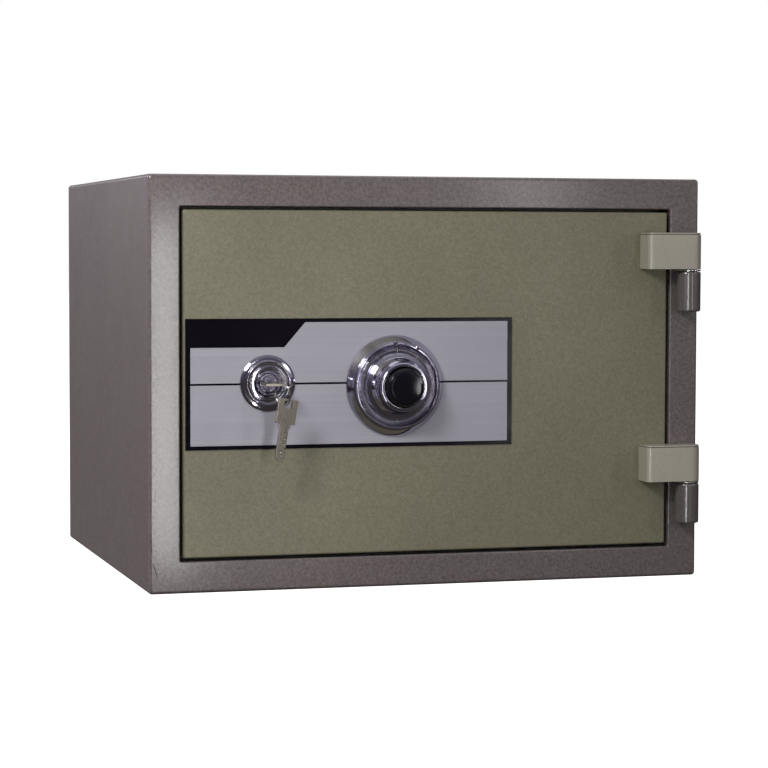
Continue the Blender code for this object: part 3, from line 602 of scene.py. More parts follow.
BODY_PAINT = PebblePaint(
    "body_pebble_paint", Slot.BODY_PAINT, (0.098, 0.077, 0.073), metallic=0.2, roughness=0.42,
    roughness_spread=0.05, coat=0.75, coat_roughness=0.17, second_colour=(0.225, 0.188, 0.182),
    worn_colour=(0.46, 0.44, 0.43), density=600.0, sharpness=0.55, depth_mm=0.085, wear=0.45)
DOOR_PAINT = PebblePaint(
    "door_pebble_paint", Slot.DOOR_PAINT, (0.172, 0.157, 0.097), metallic=0.15, roughness=0.48,
    roughness_spread=0.05, coat=0.12, coat_roughness=0.3, second_colour=(0.262, 0.245, 0.166),
    worn_colour=(0.42, 0.41, 0.36), density=680.0, sharpness=0.5, depth_mm=0.06, wear=0.6)
# The door's olive paint, made lighter on the hinge arms to stand in for the light they catch: painted light.
ARM_PAINT_WITH_PAINTED_LIGHT = PebblePaint(
    "hinge_arm_paint", Slot.DOOR_PAINT, (0.425, 0.394, 0.318), metallic=0.2, roughness=0.40,
    roughness_spread=0.05, coat=0.5, coat_roughness=0.16, second_colour=(0.525, 0.490, 0.402),
    worn_colour=(0.6, 0.58, 0.5), density=1100.0, sharpness=0.4, depth_mm=0.012, wear=0.55)
KNUCKLE_PAINT = PebblePaint(
    "hinge_knuckle_paint", Slot.BODY_PAINT, (0.125, 0.108, 0.100), metallic=0.35, roughness=0.30,
    roughness_spread=0.05, coat=1.0, coat_roughness=0.07, second_colour=(0.205, 0.184, 0.174),
    density=1100.0, sharpness=0.4, depth_mm=0.008, wear=0.5)
SILVER_PRINT = DrawnMetal(
    "silver_plate_print", Slot.TRIM_PRINT, (0.395, 0.386, 0.428), metallic=0.1, roughness=0.46, specular=0.25,
    roughness_spread=0.05, shade=(0.360, 0.350, 0.395), grain=(30.0, 900.0, 2200.0), grain_depth_mm=0.0015,
    wear=0.5, wear_radius=0.0004, worn_colour=(0.75, 0.74, 0.82))
BLACK_PRINT = MouldedPlastic(
    "black_plate_print", Slot.BLACK_GLOSS, (0.006, 0.0045, 0.009), roughness=0.2, roughness_spread=0.05,
    specular=0.22, scuffed=(0.010, 0.008, 0.014), dust=0.006, density=2500.0, depth_mm=0.0006)
CAP_GLOSS = MouldedPlastic(
    "black_cap_gloss", Slot.BLACK_GLOSS, (0.004, 0.004, 0.007), roughness=0.09, roughness_spread=0.03,
    scuffed=(0.010, 0.010, 0.014), dust=0.008, density=900.0, depth_mm=0.0002)
DIAL_CHROME = PlatedMetal(
    "dial_chrome", Slot.CHROME, (0.60, 0.585, 0.67), metallic=1.0, roughness=0.080, roughness_spread=0.030,
    shade=(0.37, 0.35, 0.44), centre=dial_axis())
DIAL_DARK = PlatedMetal(
    "dial_face_chrome", Slot.CHROME, (0.50, 0.48, 0.57), metallic=1.0, roughness=0.12, roughness_spread=0.04,
    shade=(0.26, 0.24, 0.32), centre=dial_axis())
LOCK_CHROME = PlatedMetal(
    "lock_chrome", Slot.CHROME, (0.55, 0.535, 0.61), metallic=1.0, roughness=0.09, roughness_spread=0.035,
    shade=(0.33, 0.31, 0.39), centre=lock_axis())
LOCK_FACE = PlatedMetal(
    "lock_face_chrome", Slot.CHROME, (0.34, 0.32, 0.40), metallic=1.0, roughness=0.17,
    roughness_spread=0.05, shade=(0.20, 0.18, 0.25), centre=lock_axis(), mark_depth_mm=0.01)
# Near black: the real colour of the weld mark at the frame's corner, and painted shade in the groove under each
# hinge arm's cap.
DARK_MARK_AND_GROOVE_SHADE = MouldedPlastic(
    "engraved_dark_fill", Slot.BLACK_GLOSS, (0.02, 0.02, 0.025), roughness=0.5, roughness_spread=0.1,
    scuffed=(0.05, 0.05, 0.055), density=2500.0, depth_mm=0.003)
DIAL_WHITE = MouldedPlastic(
    "dial_white_fill", Slot.CHROME, (0.55, 0.55, 0.58), roughness=0.45, roughness_spread=0.1,
    scuffed=(0.42, 0.42, 0.44), density=2500.0, depth_mm=0.003)
KEY_NICKEL = DrawnMetal(
    "key_nickel_silver", Slot.KEY_NICKEL, (0.37, 0.34, 0.285), metallic=0.9, roughness=0.33,
    roughness_spread=0.07, shade=(0.26, 0.235, 0.19), grain=(700.0, 700.0, 90.0), grain_depth_mm=0.003,
    worn_colour=(0.80, 0.77, 0.68), wear=0.9, wear_radius=0.0004)
RING_STEEL = DrawnMetal(
    "ring_spring_steel", Slot.KEY_NICKEL, (0.62, 0.60, 0.56), metallic=1.0, roughness=0.2,
    roughness_spread=0.06, shade=(0.42, 0.40, 0.37), grain=(500.0, 500.0, 500.0), grain_depth_mm=0.002,
    worn_colour=(0.85, 0.83, 0.78), wear_radius=0.0002)
ZINC_STEEL = DrawnMetal(
    "zinc_plated_steel", Slot.ZINC_STEEL, (0.56, 0.56, 0.53), metallic=1.0, roughness=0.34,
    roughness_spread=0.09, shade=(0.40, 0.40, 0.36), grain=(120.0, 120.0, 900.0), grain_depth_mm=0.004)
BOLT_STEEL = DrawnMetal(
    "ground_bolt_steel", Slot.ZINC_STEEL, (0.60, 0.60, 0.60), metallic=1.0, roughness=0.22,
    roughness_spread=0.07, shade=(0.45, 0.45, 0.46), grain=(1800.0, 120.0, 120.0), grain_depth_mm=0.003)
BRASS = DrawnMetal(
    "machined_brass", Slot.BRASS, (0.62, 0.46, 0.20), metallic=1.0, roughness=0.28, roughness_spread=0.08,
    shade=(0.42, 0.30, 0.13), grain=(900.0, 120.0, 900.0), grain_depth_mm=0.004,
    worn_colour=(0.80, 0.64, 0.34))
LINER_PLASTIC = MouldedPlastic(
    "grey_liner_plastic", Slot.LINER_PLASTIC, (0.27, 0.28, 0.285), roughness=0.5, roughness_spread=0.08,
    scuffed=(0.36, 0.37, 0.37))
SEAL_RUBBER = MouldedPlastic(
    "seal_rubber_black", Slot.SEAL_RUBBER, (0.022, 0.022, 0.023), roughness=0.75, roughness_spread=0.1,
    scuffed=(0.06, 0.06, 0.058), density=2200.0, depth_mm=0.02)
CONCRETE = CastConcrete(
    "cast_fire_insulation", Slot.INSULATION, (0.62, 0.60, 0.56), roughness=0.9, roughness_spread=0.06)


# ---------------------------------------------------------------- mesh work

def new_object(name: str, mesh: bpy.types.Mesh) -> bpy.types.Object:
    """Put a mesh in the scene as an object at the origin.

    Args:
        name: the object's name.
        mesh: its mesh.

    Returns:
        The object.
    """
    obj = bpy.data.objects.new(name, mesh)
    bpy.context.scene.collection.objects.link(obj)
    return obj


def from_bmesh(name: str, bm: bmesh.types.BMesh, sharp_degrees: float = 32.0) -> bpy.types.Object:
    """Turn finished mesh work into an object, merged, facing out and shaded smooth between crisp edges.

    Args:
        name: the object's name.
        bm: the mesh work, which is used up.
        sharp_degrees: the angle from which an edge is crisp.

    Returns:
        The object.
    """
    bmesh.ops.remove_doubles(bm, verts=bm.verts, dist=1e-7)
    bmesh.ops.recalc_face_normals(bm, faces=bm.faces)
    mesh = bpy.data.meshes.new(name)
    bm.to_mesh(mesh)
    bm.free()
    mesh.shade_smooth()
    mesh.set_sharp_from_angle(angle=math.radians(sharp_degrees))
    return new_object(name, mesh)


def settle(obj: bpy.types.Object, sharp_degrees: float = 32.0) -> bpy.types.Object:
    """Apply an object's modifiers, so that a plain mesh is left.

    Args:
        obj: the object.
        sharp_degrees: the angle from which an edge is crisp.

    Returns:
        The object.
    """
    bpy.context.view_layer.update()
    graph = bpy.context.evaluated_depsgraph_get()
    mesh = bpy.data.meshes.new_from_object(obj.evaluated_get(graph))
    obj.modifiers.clear()
    obj.data = mesh
    bm = bmesh.new()
    bm.from_mesh(mesh)
    bmesh.ops.remove_doubles(bm, verts=bm.verts, dist=1e-7)
    bm.to_mesh(mesh)
    bm.free()
    mesh.shade_smooth()
    mesh.set_sharp_from_angle(angle=math.radians(sharp_degrees))
    return obj


def soften(obj: bpy.types.Object, width: float, segments: int = 3, angle: float = 35.0) -> bpy.types.Object:
    """Round an object's sharp edges.

    Args:
        obj: the object.
        width: the rounding's width in millimetres.
        segments: the number of sides in it.
        angle: the angle in degrees from which an edge is rounded.

    Returns:
        The object.
    """
    rounding = obj.modifiers.new("rounded_edges", "BEVEL")
    rounding.width = width * MM
    rounding.segments = segments
    rounding.limit_method = "ANGLE"
    rounding.angle_limit = math.radians(angle)
    rounding.use_clamp_overlap = True
    return settle(obj)


def combine(obj: bpy.types.Object, operation: str, *tools: bpy.types.Object) -> bpy.types.Object:
    """Cut tools out of an object or join them to it, and remove the tools.

    Args:
        obj: the object that is kept.
        operation: DIFFERENCE or UNION.
        tools: the objects that are used up.

    Returns:
        The object.
    """
    for tool in tools:
        step = obj.modifiers.new(tool.name, "BOOLEAN")
        step.operation = operation
        step.object = tool
        step.solver = "EXACT"
    settle(obj)
    for tool in tools:
        bpy.data.objects.remove(tool, do_unlink=True)
    return obj


def rounded(outline: Sequence[Pair], radius: float, closed: bool = True, steps: int = 4) -> list[Pair]:
    """An outline with its corners rounded.

    Args:
        outline: the corners.
        radius: the rounding's radius, kept within the neighbouring sides.
        closed: whether the last corner joins the first.
        steps: the number of sides in each rounding.

    Returns:
        The rounded outline's points.
    """
    result: list[Pair] = []
    last = len(outline) - 1
    for number, corner in enumerate(outline):
        here = Vector(corner)
        back = Vector(outline[number - 1]) - here
        ahead = Vector(outline[(number + 1) % (last + 1)]) - here
        if not closed and number in (0, last) or back.angle(ahead) > math.radians(168.0):
            result.append(tuple(here))
            continue
        reach = min(radius / math.tan(back.angle(ahead) / 2), 0.45 * back.length, 0.45 * ahead.length)
        start, end = here + back.normalized() * reach, here + ahead.normalized() * reach
        for step in range(steps + 1):
            share = step / steps
            result.append(tuple(start * (1 - share) ** 2 + here * 2 * share * (1 - share) + end * share ** 2))
    return result


def turned(name: str, outline: Sequence[Pair], centre: Pair, axis: Axis = Axis.INWARDS, closed: bool = True,
           steps: int = 96, rounding: float = 0.25) -> bpy.types.Object:
    """A turned piece.

    Args:
        name: the piece's name.
        outline: (radius, place along the axis). An open outline starts and ends on the axis.
        centre: the axis's two places across its direction.
        axis: the direction of the axis.
        closed: whether the outline is a ring round an open middle.
        steps: the number of sides round the axis.
        rounding: the radius of the outline's corners.

    Returns:
        The object.
    """
    section = rounded(outline, rounding, closed)
    bm = bmesh.new()
    rings = []
    for step in range(steps):
        angle = math.tau * step / steps
        rings.append([bm.verts.new(axis.at(centre[0] + radius * math.cos(angle),
                                           centre[1] + radius * math.sin(angle), along))
                      for radius, along in section])
    pairs = len(section) if closed else len(section) - 1
    for step, ring in enumerate(rings):
        after = rings[(step + 1) % steps]
        for number in range(pairs):
            following = (number + 1) % len(section)
            bm.faces.new((ring[number], ring[following], after[following], after[number]))
    bmesh.ops.remove_doubles(bm, verts=bm.verts, dist=1e-7)
    bmesh.ops.dissolve_degenerate(bm, edges=bm.edges, dist=1e-8)
    return from_bmesh(name, bm)


def drawn(name: str, outline: Sequence[Pair], ends: Pair, axis: Axis) -> bpy.types.Object:
    """A flat outline drawn out along an axis.

    Args:
        name: the piece's name.
        outline: the outline's corners across the axis.
        ends: the two places on the axis.
        axis: the direction.

    Returns:
        The object.
    """
    bm = bmesh.new()
    rings = [[bm.verts.new(axis.at(first, second, along)) for first, second in outline] for along in ends]
    for ring in rings:
        bm.faces.new(ring)
    for number in range(len(outline)):
        following = (number + 1) % len(outline)
        bm.faces.new((rings[0][number], rings[0][following], rings[1][following], rings[1][number]))
    return from_bmesh(name, bm)


def block(name: str, xs: Pair, depths: Pair, zs: Pair) -> bpy.types.Object:
    """A block, to be cut, joined or rounded.

    Args:
        name: the piece's name.
        xs: its left and right side.
        depths: its front and back.
        zs: its underside and top.

    Returns:
        The object.
    """
    corners = [(xs[0], depths[0]), (xs[1], depths[0]), (xs[1], depths[1]), (xs[0], depths[1])]
    return drawn(name, corners, zs, Axis.UP)


def rod(name: str, radius: float, centre: Pair, ends: Pair, axis: Axis, steps: int = 48) -> bpy.types.Object:
    """A plain round bar, to be used as a cutter or joined to a piece.

    Args:
        name: the piece's name.
        radius: its radius.
        centre: the axis's two places across its direction.
        ends: its two places along it.
        axis: the direction.
        steps: the number of sides.

    Returns:
        The object.
    """
    circle = [(centre[0] + radius * math.cos(math.tau * step / steps),
               centre[1] + radius * math.sin(math.tau * step / steps)) for step in range(steps)]
    return drawn(name, circle, ends, axis)


@dataclass(frozen=True)
class Loop:
    """A rounded rectangle across the box at one depth: one rib of a lofted shell."""

    half_width: float
    low: float
    high: float
    radius: float
    depth: float
    steps: int = 6

    def points(self) -> list[Vector]:
        """The loop's points, counted the same way for every loop.

        Returns:
            The points, in metres.
        """
        result = []
        inner_x, reach = self.half_width - self.radius, self.radius
        for turn, (x, z) in enumerate(((inner_x, self.high - reach), (-inner_x, self.high - reach),
                                       (-inner_x, self.low + reach), (inner_x, self.low + reach))):
            for step in range(self.steps + 1):
                angle = math.radians(90.0) * (turn + step / self.steps)
                result.append(place(x + reach * math.cos(angle), self.depth, z + reach * math.sin(angle)))
        return result


def lofted(name: str, loops: Sequence[Loop], closed: bool) -> bpy.types.Object:
    """A shell through loops in order.

    Args:
        name: the piece's name.
        loops: the loops.
        closed: whether the last loop joins the first. If not, the first and last are capped.

    Returns:
        The object.
    """
    bm = bmesh.new()
    rings = [[bm.verts.new(point) for point in loop.points()] for loop in loops]
    spans = list(zip(rings, rings[1:] + rings[:1])) if closed else list(zip(rings, rings[1:]))
    for ring, after in spans:
        for number in range(len(ring)):
            following = (number + 1) % len(ring)
            bm.faces.new((ring[number], ring[following], after[following], after[number]))
    if not closed:
        bm.faces.new(rings[0])
        bm.faces.new(rings[-1])
    return from_bmesh(name, bm)


def front_rounding(half_width: float, low: float, high: float, radius: float, depth: float, corner: float,
                   steps: int = 4) -> list[Loop]:
    """The loops of a rounded front edge, from its side to its face.

    Args:
        half_width: half the width at the side.
        low: the lower side.
        high: the upper side.
        radius: the edge's radius. A negative radius rounds the edge of an opening.
        depth: the depth of the face.
        corner: the radius of the corners seen from the front.
        steps: the number of sides in the rounding.

    Returns:
        The loops.
    """
    result = []
    size = abs(radius)
    for step in range(steps + 1):
        angle = math.radians(90.0) * step / steps
        inset = (radius if radius > 0 else -size) * (1 - math.cos(angle))
        result.append(Loop(half_width - inset, low + inset, high - inset, corner,
                           depth + size * (1 - math.sin(angle))))
    return result


# ---------------------------------------------------------------- geometry nodes

GEOMETRY = "NodeSocketGeometry"
INTEGER = "NodeSocketInt"


class Grower:
    """Builds one Geometry Nodes tree, runs it on an object and leaves the result as a plain mesh."""

    def __init__(self, name: str, inputs: Sequence[tuple[str, str, Value]]) -> None:
        """Start the tree.

        Args:
            name: the tree's name.
            inputs: name, socket type and default value of each size that the tree takes.
        """
        rows = [("Geometry", GEOMETRY, None), ("Finish", "NodeSocketMaterial", None), *inputs]
        self.sketch, self.given, self.sink = new_group(name, "GeometryNodeTree", rows, [("Geometry", GEOMETRY)])

    def end(self, geometry: bpy.types.NodeSocket) -> None:
        """Realize what was grown, give it its finish and send it out.

        Args:
            geometry: what was grown.
        """
        whole = self.sketch.add("GeometryNodeRealizeInstances", {"Geometry": geometry}).outputs[0]
        dressed = self.sketch.add("GeometryNodeSetMaterial", {"Geometry": whole, "Material": self.given["Finish"]})
        self.sketch.tree.links.new(dressed.outputs[0], self.sink.inputs["Geometry"])

    def grow(self, obj: bpy.types.Object, finish: Finish, **sizes: Value) -> bpy.types.Object:
        """Run the tree on an object.

        Args:
            obj: the object that the tree works on.
            finish: what the result wears.
            sizes: the tree's inputs, with underscores for spaces.

        Returns:
            The object with its plain new mesh.
        """
        modifier = obj.modifiers.new(self.sketch.tree.name, "NODES")
        modifier.node_group = self.sketch.tree
        values = {key.replace("_", " ").title(): value for key, value in sizes.items()}
        values["Finish"] = finish.material()
        for item in self.sketch.tree.interface.items_tree:
            if item.in_out == "INPUT" and item.name in values:
                modifier[item.identifier] = values[item.name]
        return settle(obj)


def seed_object(name: str) -> bpy.types.Object:
    """An empty mesh for a tree to grow on."""
    return new_object(name, bpy.data.meshes.new(name))


def row_grower(name: str) -> Grower:
    """A tree that copies its object's mesh along a straight row.

    Args:
        name: the tree's name.

    Returns:
        The grower.
    """
    grower = Grower(name, [("Count", INTEGER, 4), ("Step", VECTOR, (0.0, 0.0, 0.0))])
    line = grower.sketch.add("GeometryNodeMeshLine", {"Count": grower.given["Count"],
                                                      "Offset": grower.given["Step"]}, mode="OFFSET")
    copies = grower.sketch.add("GeometryNodeInstanceOnPoints", {
        "Points": line.outputs["Mesh"], "Instance": grower.given["Geometry"],
    })
    grower.end(copies.outputs["Instances"])
    return grower


def corner_grower(name: str) -> Grower:
    """A tree that copies its object's mesh to the four corners of an upright rectangle.

    Args:
        name: the tree's name.

    Returns:
        The grower.
    """
    grower = Grower(name, [("Width", FLOAT, 0.1), ("Height", FLOAT, 0.1)])
    grid = grower.sketch.add("GeometryNodeMeshGrid", {
        "Size X": grower.given["Width"], "Size Y": grower.given["Height"],
        "Vertices X": 2, "Vertices Y": 2,
    })
    upright = grower.sketch.add("GeometryNodeTransform", {
        "Geometry": grid.outputs["Mesh"], "Rotation": (math.radians(90.0), 0.0, 0.0),
    })
    copies = grower.sketch.add("GeometryNodeInstanceOnPoints", {
        "Points": upright.outputs[0], "Instance": grower.given["Geometry"],
    })
    grower.end(copies.outputs["Instances"])
    return grower


def border_grower(name: str) -> Grower:
    """A tree that copies its object's mesh round the border of an upright rectangle, evenly spaced.

    Args:
        name: the tree's name.

    Returns:
        The grower.
    """
    grower = Grower(name, [("Width", FLOAT, 0.1), ("Height", FLOAT, 0.1), ("Spacing", FLOAT, 0.03)])
    border = grower.sketch.add("GeometryNodeCurvePrimitiveQuadrilateral", {
        "Width": grower.given["Width"], "Height": grower.given["Height"],
    }, mode="RECTANGLE")
    upright = grower.sketch.add("GeometryNodeTransform", {
        "Geometry": border.outputs[0], "Rotation": (math.radians(90.0), 0.0, 0.0),
    })
    points = grower.sketch.add("GeometryNodeCurveToPoints", {
        "Curve": upright.outputs[0], "Length": grower.given["Spacing"],
    }, mode="LENGTH")
    copies = grower.sketch.add("GeometryNodeInstanceOnPoints", {
        "Points": points.outputs["Points"], "Instance": grower.given["Geometry"],
    })
    grower.end(copies.outputs["Instances"])
    return grower


def fan_grower(name: str) -> Grower:
    """A tree that turns copies of its object's mesh round a front-to-back axis through its origin.

    Args:
        name: the tree's name.

    Returns:
        The grower.
    """
    grower = Grower(name, [("Count", INTEGER, 100)])
    sketch = grower.sketch
    points = sketch.add("GeometryNodeMeshLine", {"Count": grower.given["Count"],
                                                 "Offset": (0.0, 0.0, 0.0)}, mode="OFFSET")
    number = sketch.add("GeometryNodeInputIndex").outputs[0]
    turn = sketch.math("DIVIDE", sketch.math("MULTIPLY", number, math.tau), grower.given["Count"])
    rotation = sketch.add("ShaderNodeCombineXYZ", {"Y": turn}).outputs[0]
    copies = sketch.add("GeometryNodeInstanceOnPoints", {
        "Points": points.outputs["Mesh"], "Instance": grower.given["Geometry"], "Rotation": rotation,
    })
    grower.end(copies.outputs["Instances"])
    return grower


def coil_grower(name: str) -> Grower:
    """A tree that winds a round wire into a flat coil about +Z.

    Args:
        name: the tree's name.

    Returns:
        The grower.
    """
    grower = Grower(name, [("Turns", FLOAT, 2.0), ("Radius", FLOAT, 0.01), ("Wire", FLOAT, 0.0005),
                           ("Pitch", FLOAT, 0.001)])
    sketch, given = grower.sketch, grower.given
    spiral = sketch.add("GeometryNodeCurveSpiral", {
        "Resolution": 72, "Rotations": given["Turns"], "Start Radius": given["Radius"],
        "End Radius": given["Radius"], "Height": sketch.math("MULTIPLY", given["Turns"], given["Pitch"]),
    })
    section = sketch.add("GeometryNodeCurvePrimitiveCircle", {"Resolution": 14, "Radius": given["Wire"]},
                         mode="RADIUS")
    wire = sketch.add("GeometryNodeCurveToMesh", {
        "Curve": spiral.outputs[0], "Profile Curve": section.outputs[0], "Fill Caps": True,
    })
    grower.end(wire.outputs[0])
    return grower


def dimple_grower(name: str) -> Grower:
    """A tree that drills a staggered row of round dimples in a flat key lying in its own XY plane.

    Args:
        name: the tree's name.

    Returns:
        The grower.
    """
    grower = Grower(name, [("Count", INTEGER, 5), ("Start", VECTOR, (0.0, 0.0, 0.0)), ("Step", FLOAT, 0.002),
                           ("Stagger", FLOAT, 0.001), ("Radius", FLOAT, 0.001)])
    sketch, given = grower.sketch, grower.given
    number = sketch.add("GeometryNodeInputIndex").outputs[0]
    line = sketch.add("GeometryNodeMeshLine", {
        "Count": given["Count"], "Start Location": given["Start"],
        "Offset": sketch.add("ShaderNodeCombineXYZ", {"Y": given["Step"]}).outputs[0],
    }, mode="OFFSET")
    odd = sketch.math("SUBTRACT", sketch.math("MULTIPLY", sketch.math("MODULO", number, 2.0), 2.0), 1.0)
    shift = sketch.add("ShaderNodeCombineXYZ", {"X": sketch.math("MULTIPLY", odd, given["Stagger"])})
    places = sketch.add("GeometryNodeSetPosition", {"Geometry": line.outputs["Mesh"],
                                                    "Offset": shift.outputs[0]})
    ball = sketch.add("GeometryNodeMeshUVSphere", {"Segments": 20, "Rings": 10, "Radius": given["Radius"]})
    drills = sketch.add("GeometryNodeInstanceOnPoints", {
        "Points": places.outputs[0], "Instance": ball.outputs["Mesh"],
    })
    whole = sketch.add("GeometryNodeRealizeInstances", {"Geometry": drills.outputs["Instances"]})
    cut = sketch.add("GeometryNodeMeshBoolean", {"Mesh 1": given["Geometry"], "Mesh 2": whole.outputs[0]},
                     operation="DIFFERENCE", solver="EXACT")
    grower.end(cut.outputs["Mesh"])
    return grower


# ---------------------------------------------------------------- dressing

def wear_finish(obj: bpy.types.Object, finish: Finish) -> None:
    """Dress an object in one finish."""
    obj.data.materials.clear()
    obj.data.materials.append(finish.material())


def flatten_shading(piece: bpy.types.Object) -> None:
    """Keep wide faces flat where they meet roundings, by weighting the shading by area.

    Args:
        piece: the piece.
    """
    weighting = piece.modifiers.new("flat_faces", "WEIGHTED_NORMAL")
    weighting.keep_sharp = True
    weighting.weight = 60
    graph = bpy.context.evaluated_depsgraph_get()
    mesh = bpy.data.meshes.new_from_object(piece.evaluated_get(graph))
    piece.modifiers.clear()
    piece.data = mesh


def fit(piece: bpy.types.Object, finish: Finish, body: Body, *nodes: str) -> bpy.types.Object:
    """Dress a finished piece, let it ride on its body, and let it stand for CAD nodes.

    Args:
        piece: the piece, in place.
        finish: what it wears.
        body: the body that it rides on.
        nodes: the CAD nodes that it stands for.

    Returns:
        The piece.
    """
    flatten_shading(piece)
    wear_finish(piece, finish)
    piece.data.name = piece.name
    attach(piece, body.value)
    if nodes:
        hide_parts(*nodes)
    LOG.info("%s: %d faces, %s, rides on %s", piece.name, len(piece.data.polygons), finish.name, body.value)
    return piece


def dress_nodes(finish: Finish, *nodes: str) -> None:
    """Give CAD nodes that stay in view a finish of their own.

    Args:
        finish: the finish.
        nodes: the nodes' names.
    """
    for node in nodes:
        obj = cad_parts[node]
        if not obj.data.materials:
            obj.data.materials.append(None)
        obj.material_slots[0].material = finish.material()
        LOG.info("%s: CAD node in %s", node, finish.name)


# ---------------------------------------------------------------- the box's body

@dataclass
class Casing:
    """The folded steel casing with its front frame, its back panel and the marks left by its making."""

    half_width: float = 217.5
    height: float = 310.0
    depth: float = 374.0
    sheet: float = 1.2
    opening_half: float = 194.0
    opening_low: float = 23.5
    fold_depth: float = 12.0
    edge: float = 2.4
    corner: float = 2.6
    fold_edge: float = 1.1
    panel_gap: float = 1.5
    panel_recess: float = 0.3
    field_border: float = 46.0
    field_slope: float = 1.1
    field_press: float = 0.9
    weld_inset: float = 8.0
    weld_spacing: float = 37.2
    weld_section: Outline = ((0.0, -0.02), (1.7, 0.05), (2.3, 0.22), (3.1, 0.22), (3.5, -0.02))
    mark_outline: Outline = ((-214.6, 24.2), (-213.2, 21.0), (-211.4, 15.0), (-210.4, 9.0), (-212.0, 14.4),
                             (-214.2, 20.6))
    mark_depths: Pair = (-0.07, 0.1)

    def build(self) -> None:
        """Build the casing, its back and its marks."""
        self.shell()
        self.back()
        self.weld_mark()

    def shell(self) -> None:
        """The casing with its front frame and the frame's folded return, as one lofted skin."""
        high = self.height - self.opening_low
        wall = self.sheet
        inner = self.half_width - wall
        loops = [Loop(self.half_width, 0.0, self.height, self.corner, self.depth)]
        loops += front_rounding(self.half_width, 0.0, self.height, self.edge, 0.0, self.corner, steps=5)
        loops += front_rounding(self.opening_half, self.opening_low, high, -self.fold_edge, 0.0, 1.6)[::-1]
        loops += [
            Loop(self.opening_half, self.opening_low, high, 1.6, self.fold_depth),
            Loop(self.opening_half + wall, self.opening_low - wall, high + wall, 2.2, self.fold_depth),
            Loop(self.opening_half + wall, self.opening_low - wall, high + wall, 2.2, wall),
            Loop(inner, wall, self.height - wall, 1.6, wall),
            Loop(inner, wall, self.height - wall, 1.6, self.depth),
        ]
        fit(lofted("casing_shell", loops, closed=True), BODY_PAINT, Body.ROOT, "outer_casing")

    def back(self) -> None:
        """The back panel with a pressed field, and the spot welds round it."""
        edge = self.half_width - self.panel_gap
        low, high = self.panel_gap, self.height - self.panel_gap
        outer = self.depth - self.panel_recess
        inner = outer - self.sheet
        field, slope, pressed = self.field_border, self.field_slope, outer - self.field_press
        loops = [
            Loop(edge, low, high, 1.5, inner), Loop(edge, low, high, 1.5, outer),
            Loop(edge - field, low + field, high - field, 12.0, outer),
            Loop(edge - field - slope, low + field + slope, high - field - slope, 11.0, pressed),
            Loop(20.0, 145.0, 165.0, 6.0, pressed),
        ]
        panel = lofted("back_panel", loops, closed=False)
        fit(panel, BODY_PAINT, Body.ROOT, "rear_panel")

        weld = turned("spot_welds", self.weld_section, (0.0, 0.0), closed=False, steps=20, rounding=0.3)
        weld.data.transform(Matrix.Translation(Vector((0.0, -FRONT_PLANE, 0.0))))
        border_grower("spot_weld_border").grow(
            weld, BODY_PAINT, width=2 * (edge - self.weld_inset) * MM,
            height=(high - low - 2 * self.weld_inset) * MM, spacing=self.weld_spacing * MM)
        weld.data.transform(Matrix.Translation(place(0.0, outer, self.height / 2)))
        fit(weld, BODY_PAINT, Body.ROOT)

    def weld_mark(self) -> None:
        """A short ground-down weld line at the frame's lower left corner."""
        mark = drawn("corner_weld_mark", self.mark_outline, self.mark_depths, Axis.INWARDS)
        fit(mark, DARK_MARK_AND_GROOVE_SHADE, Body.ROOT)


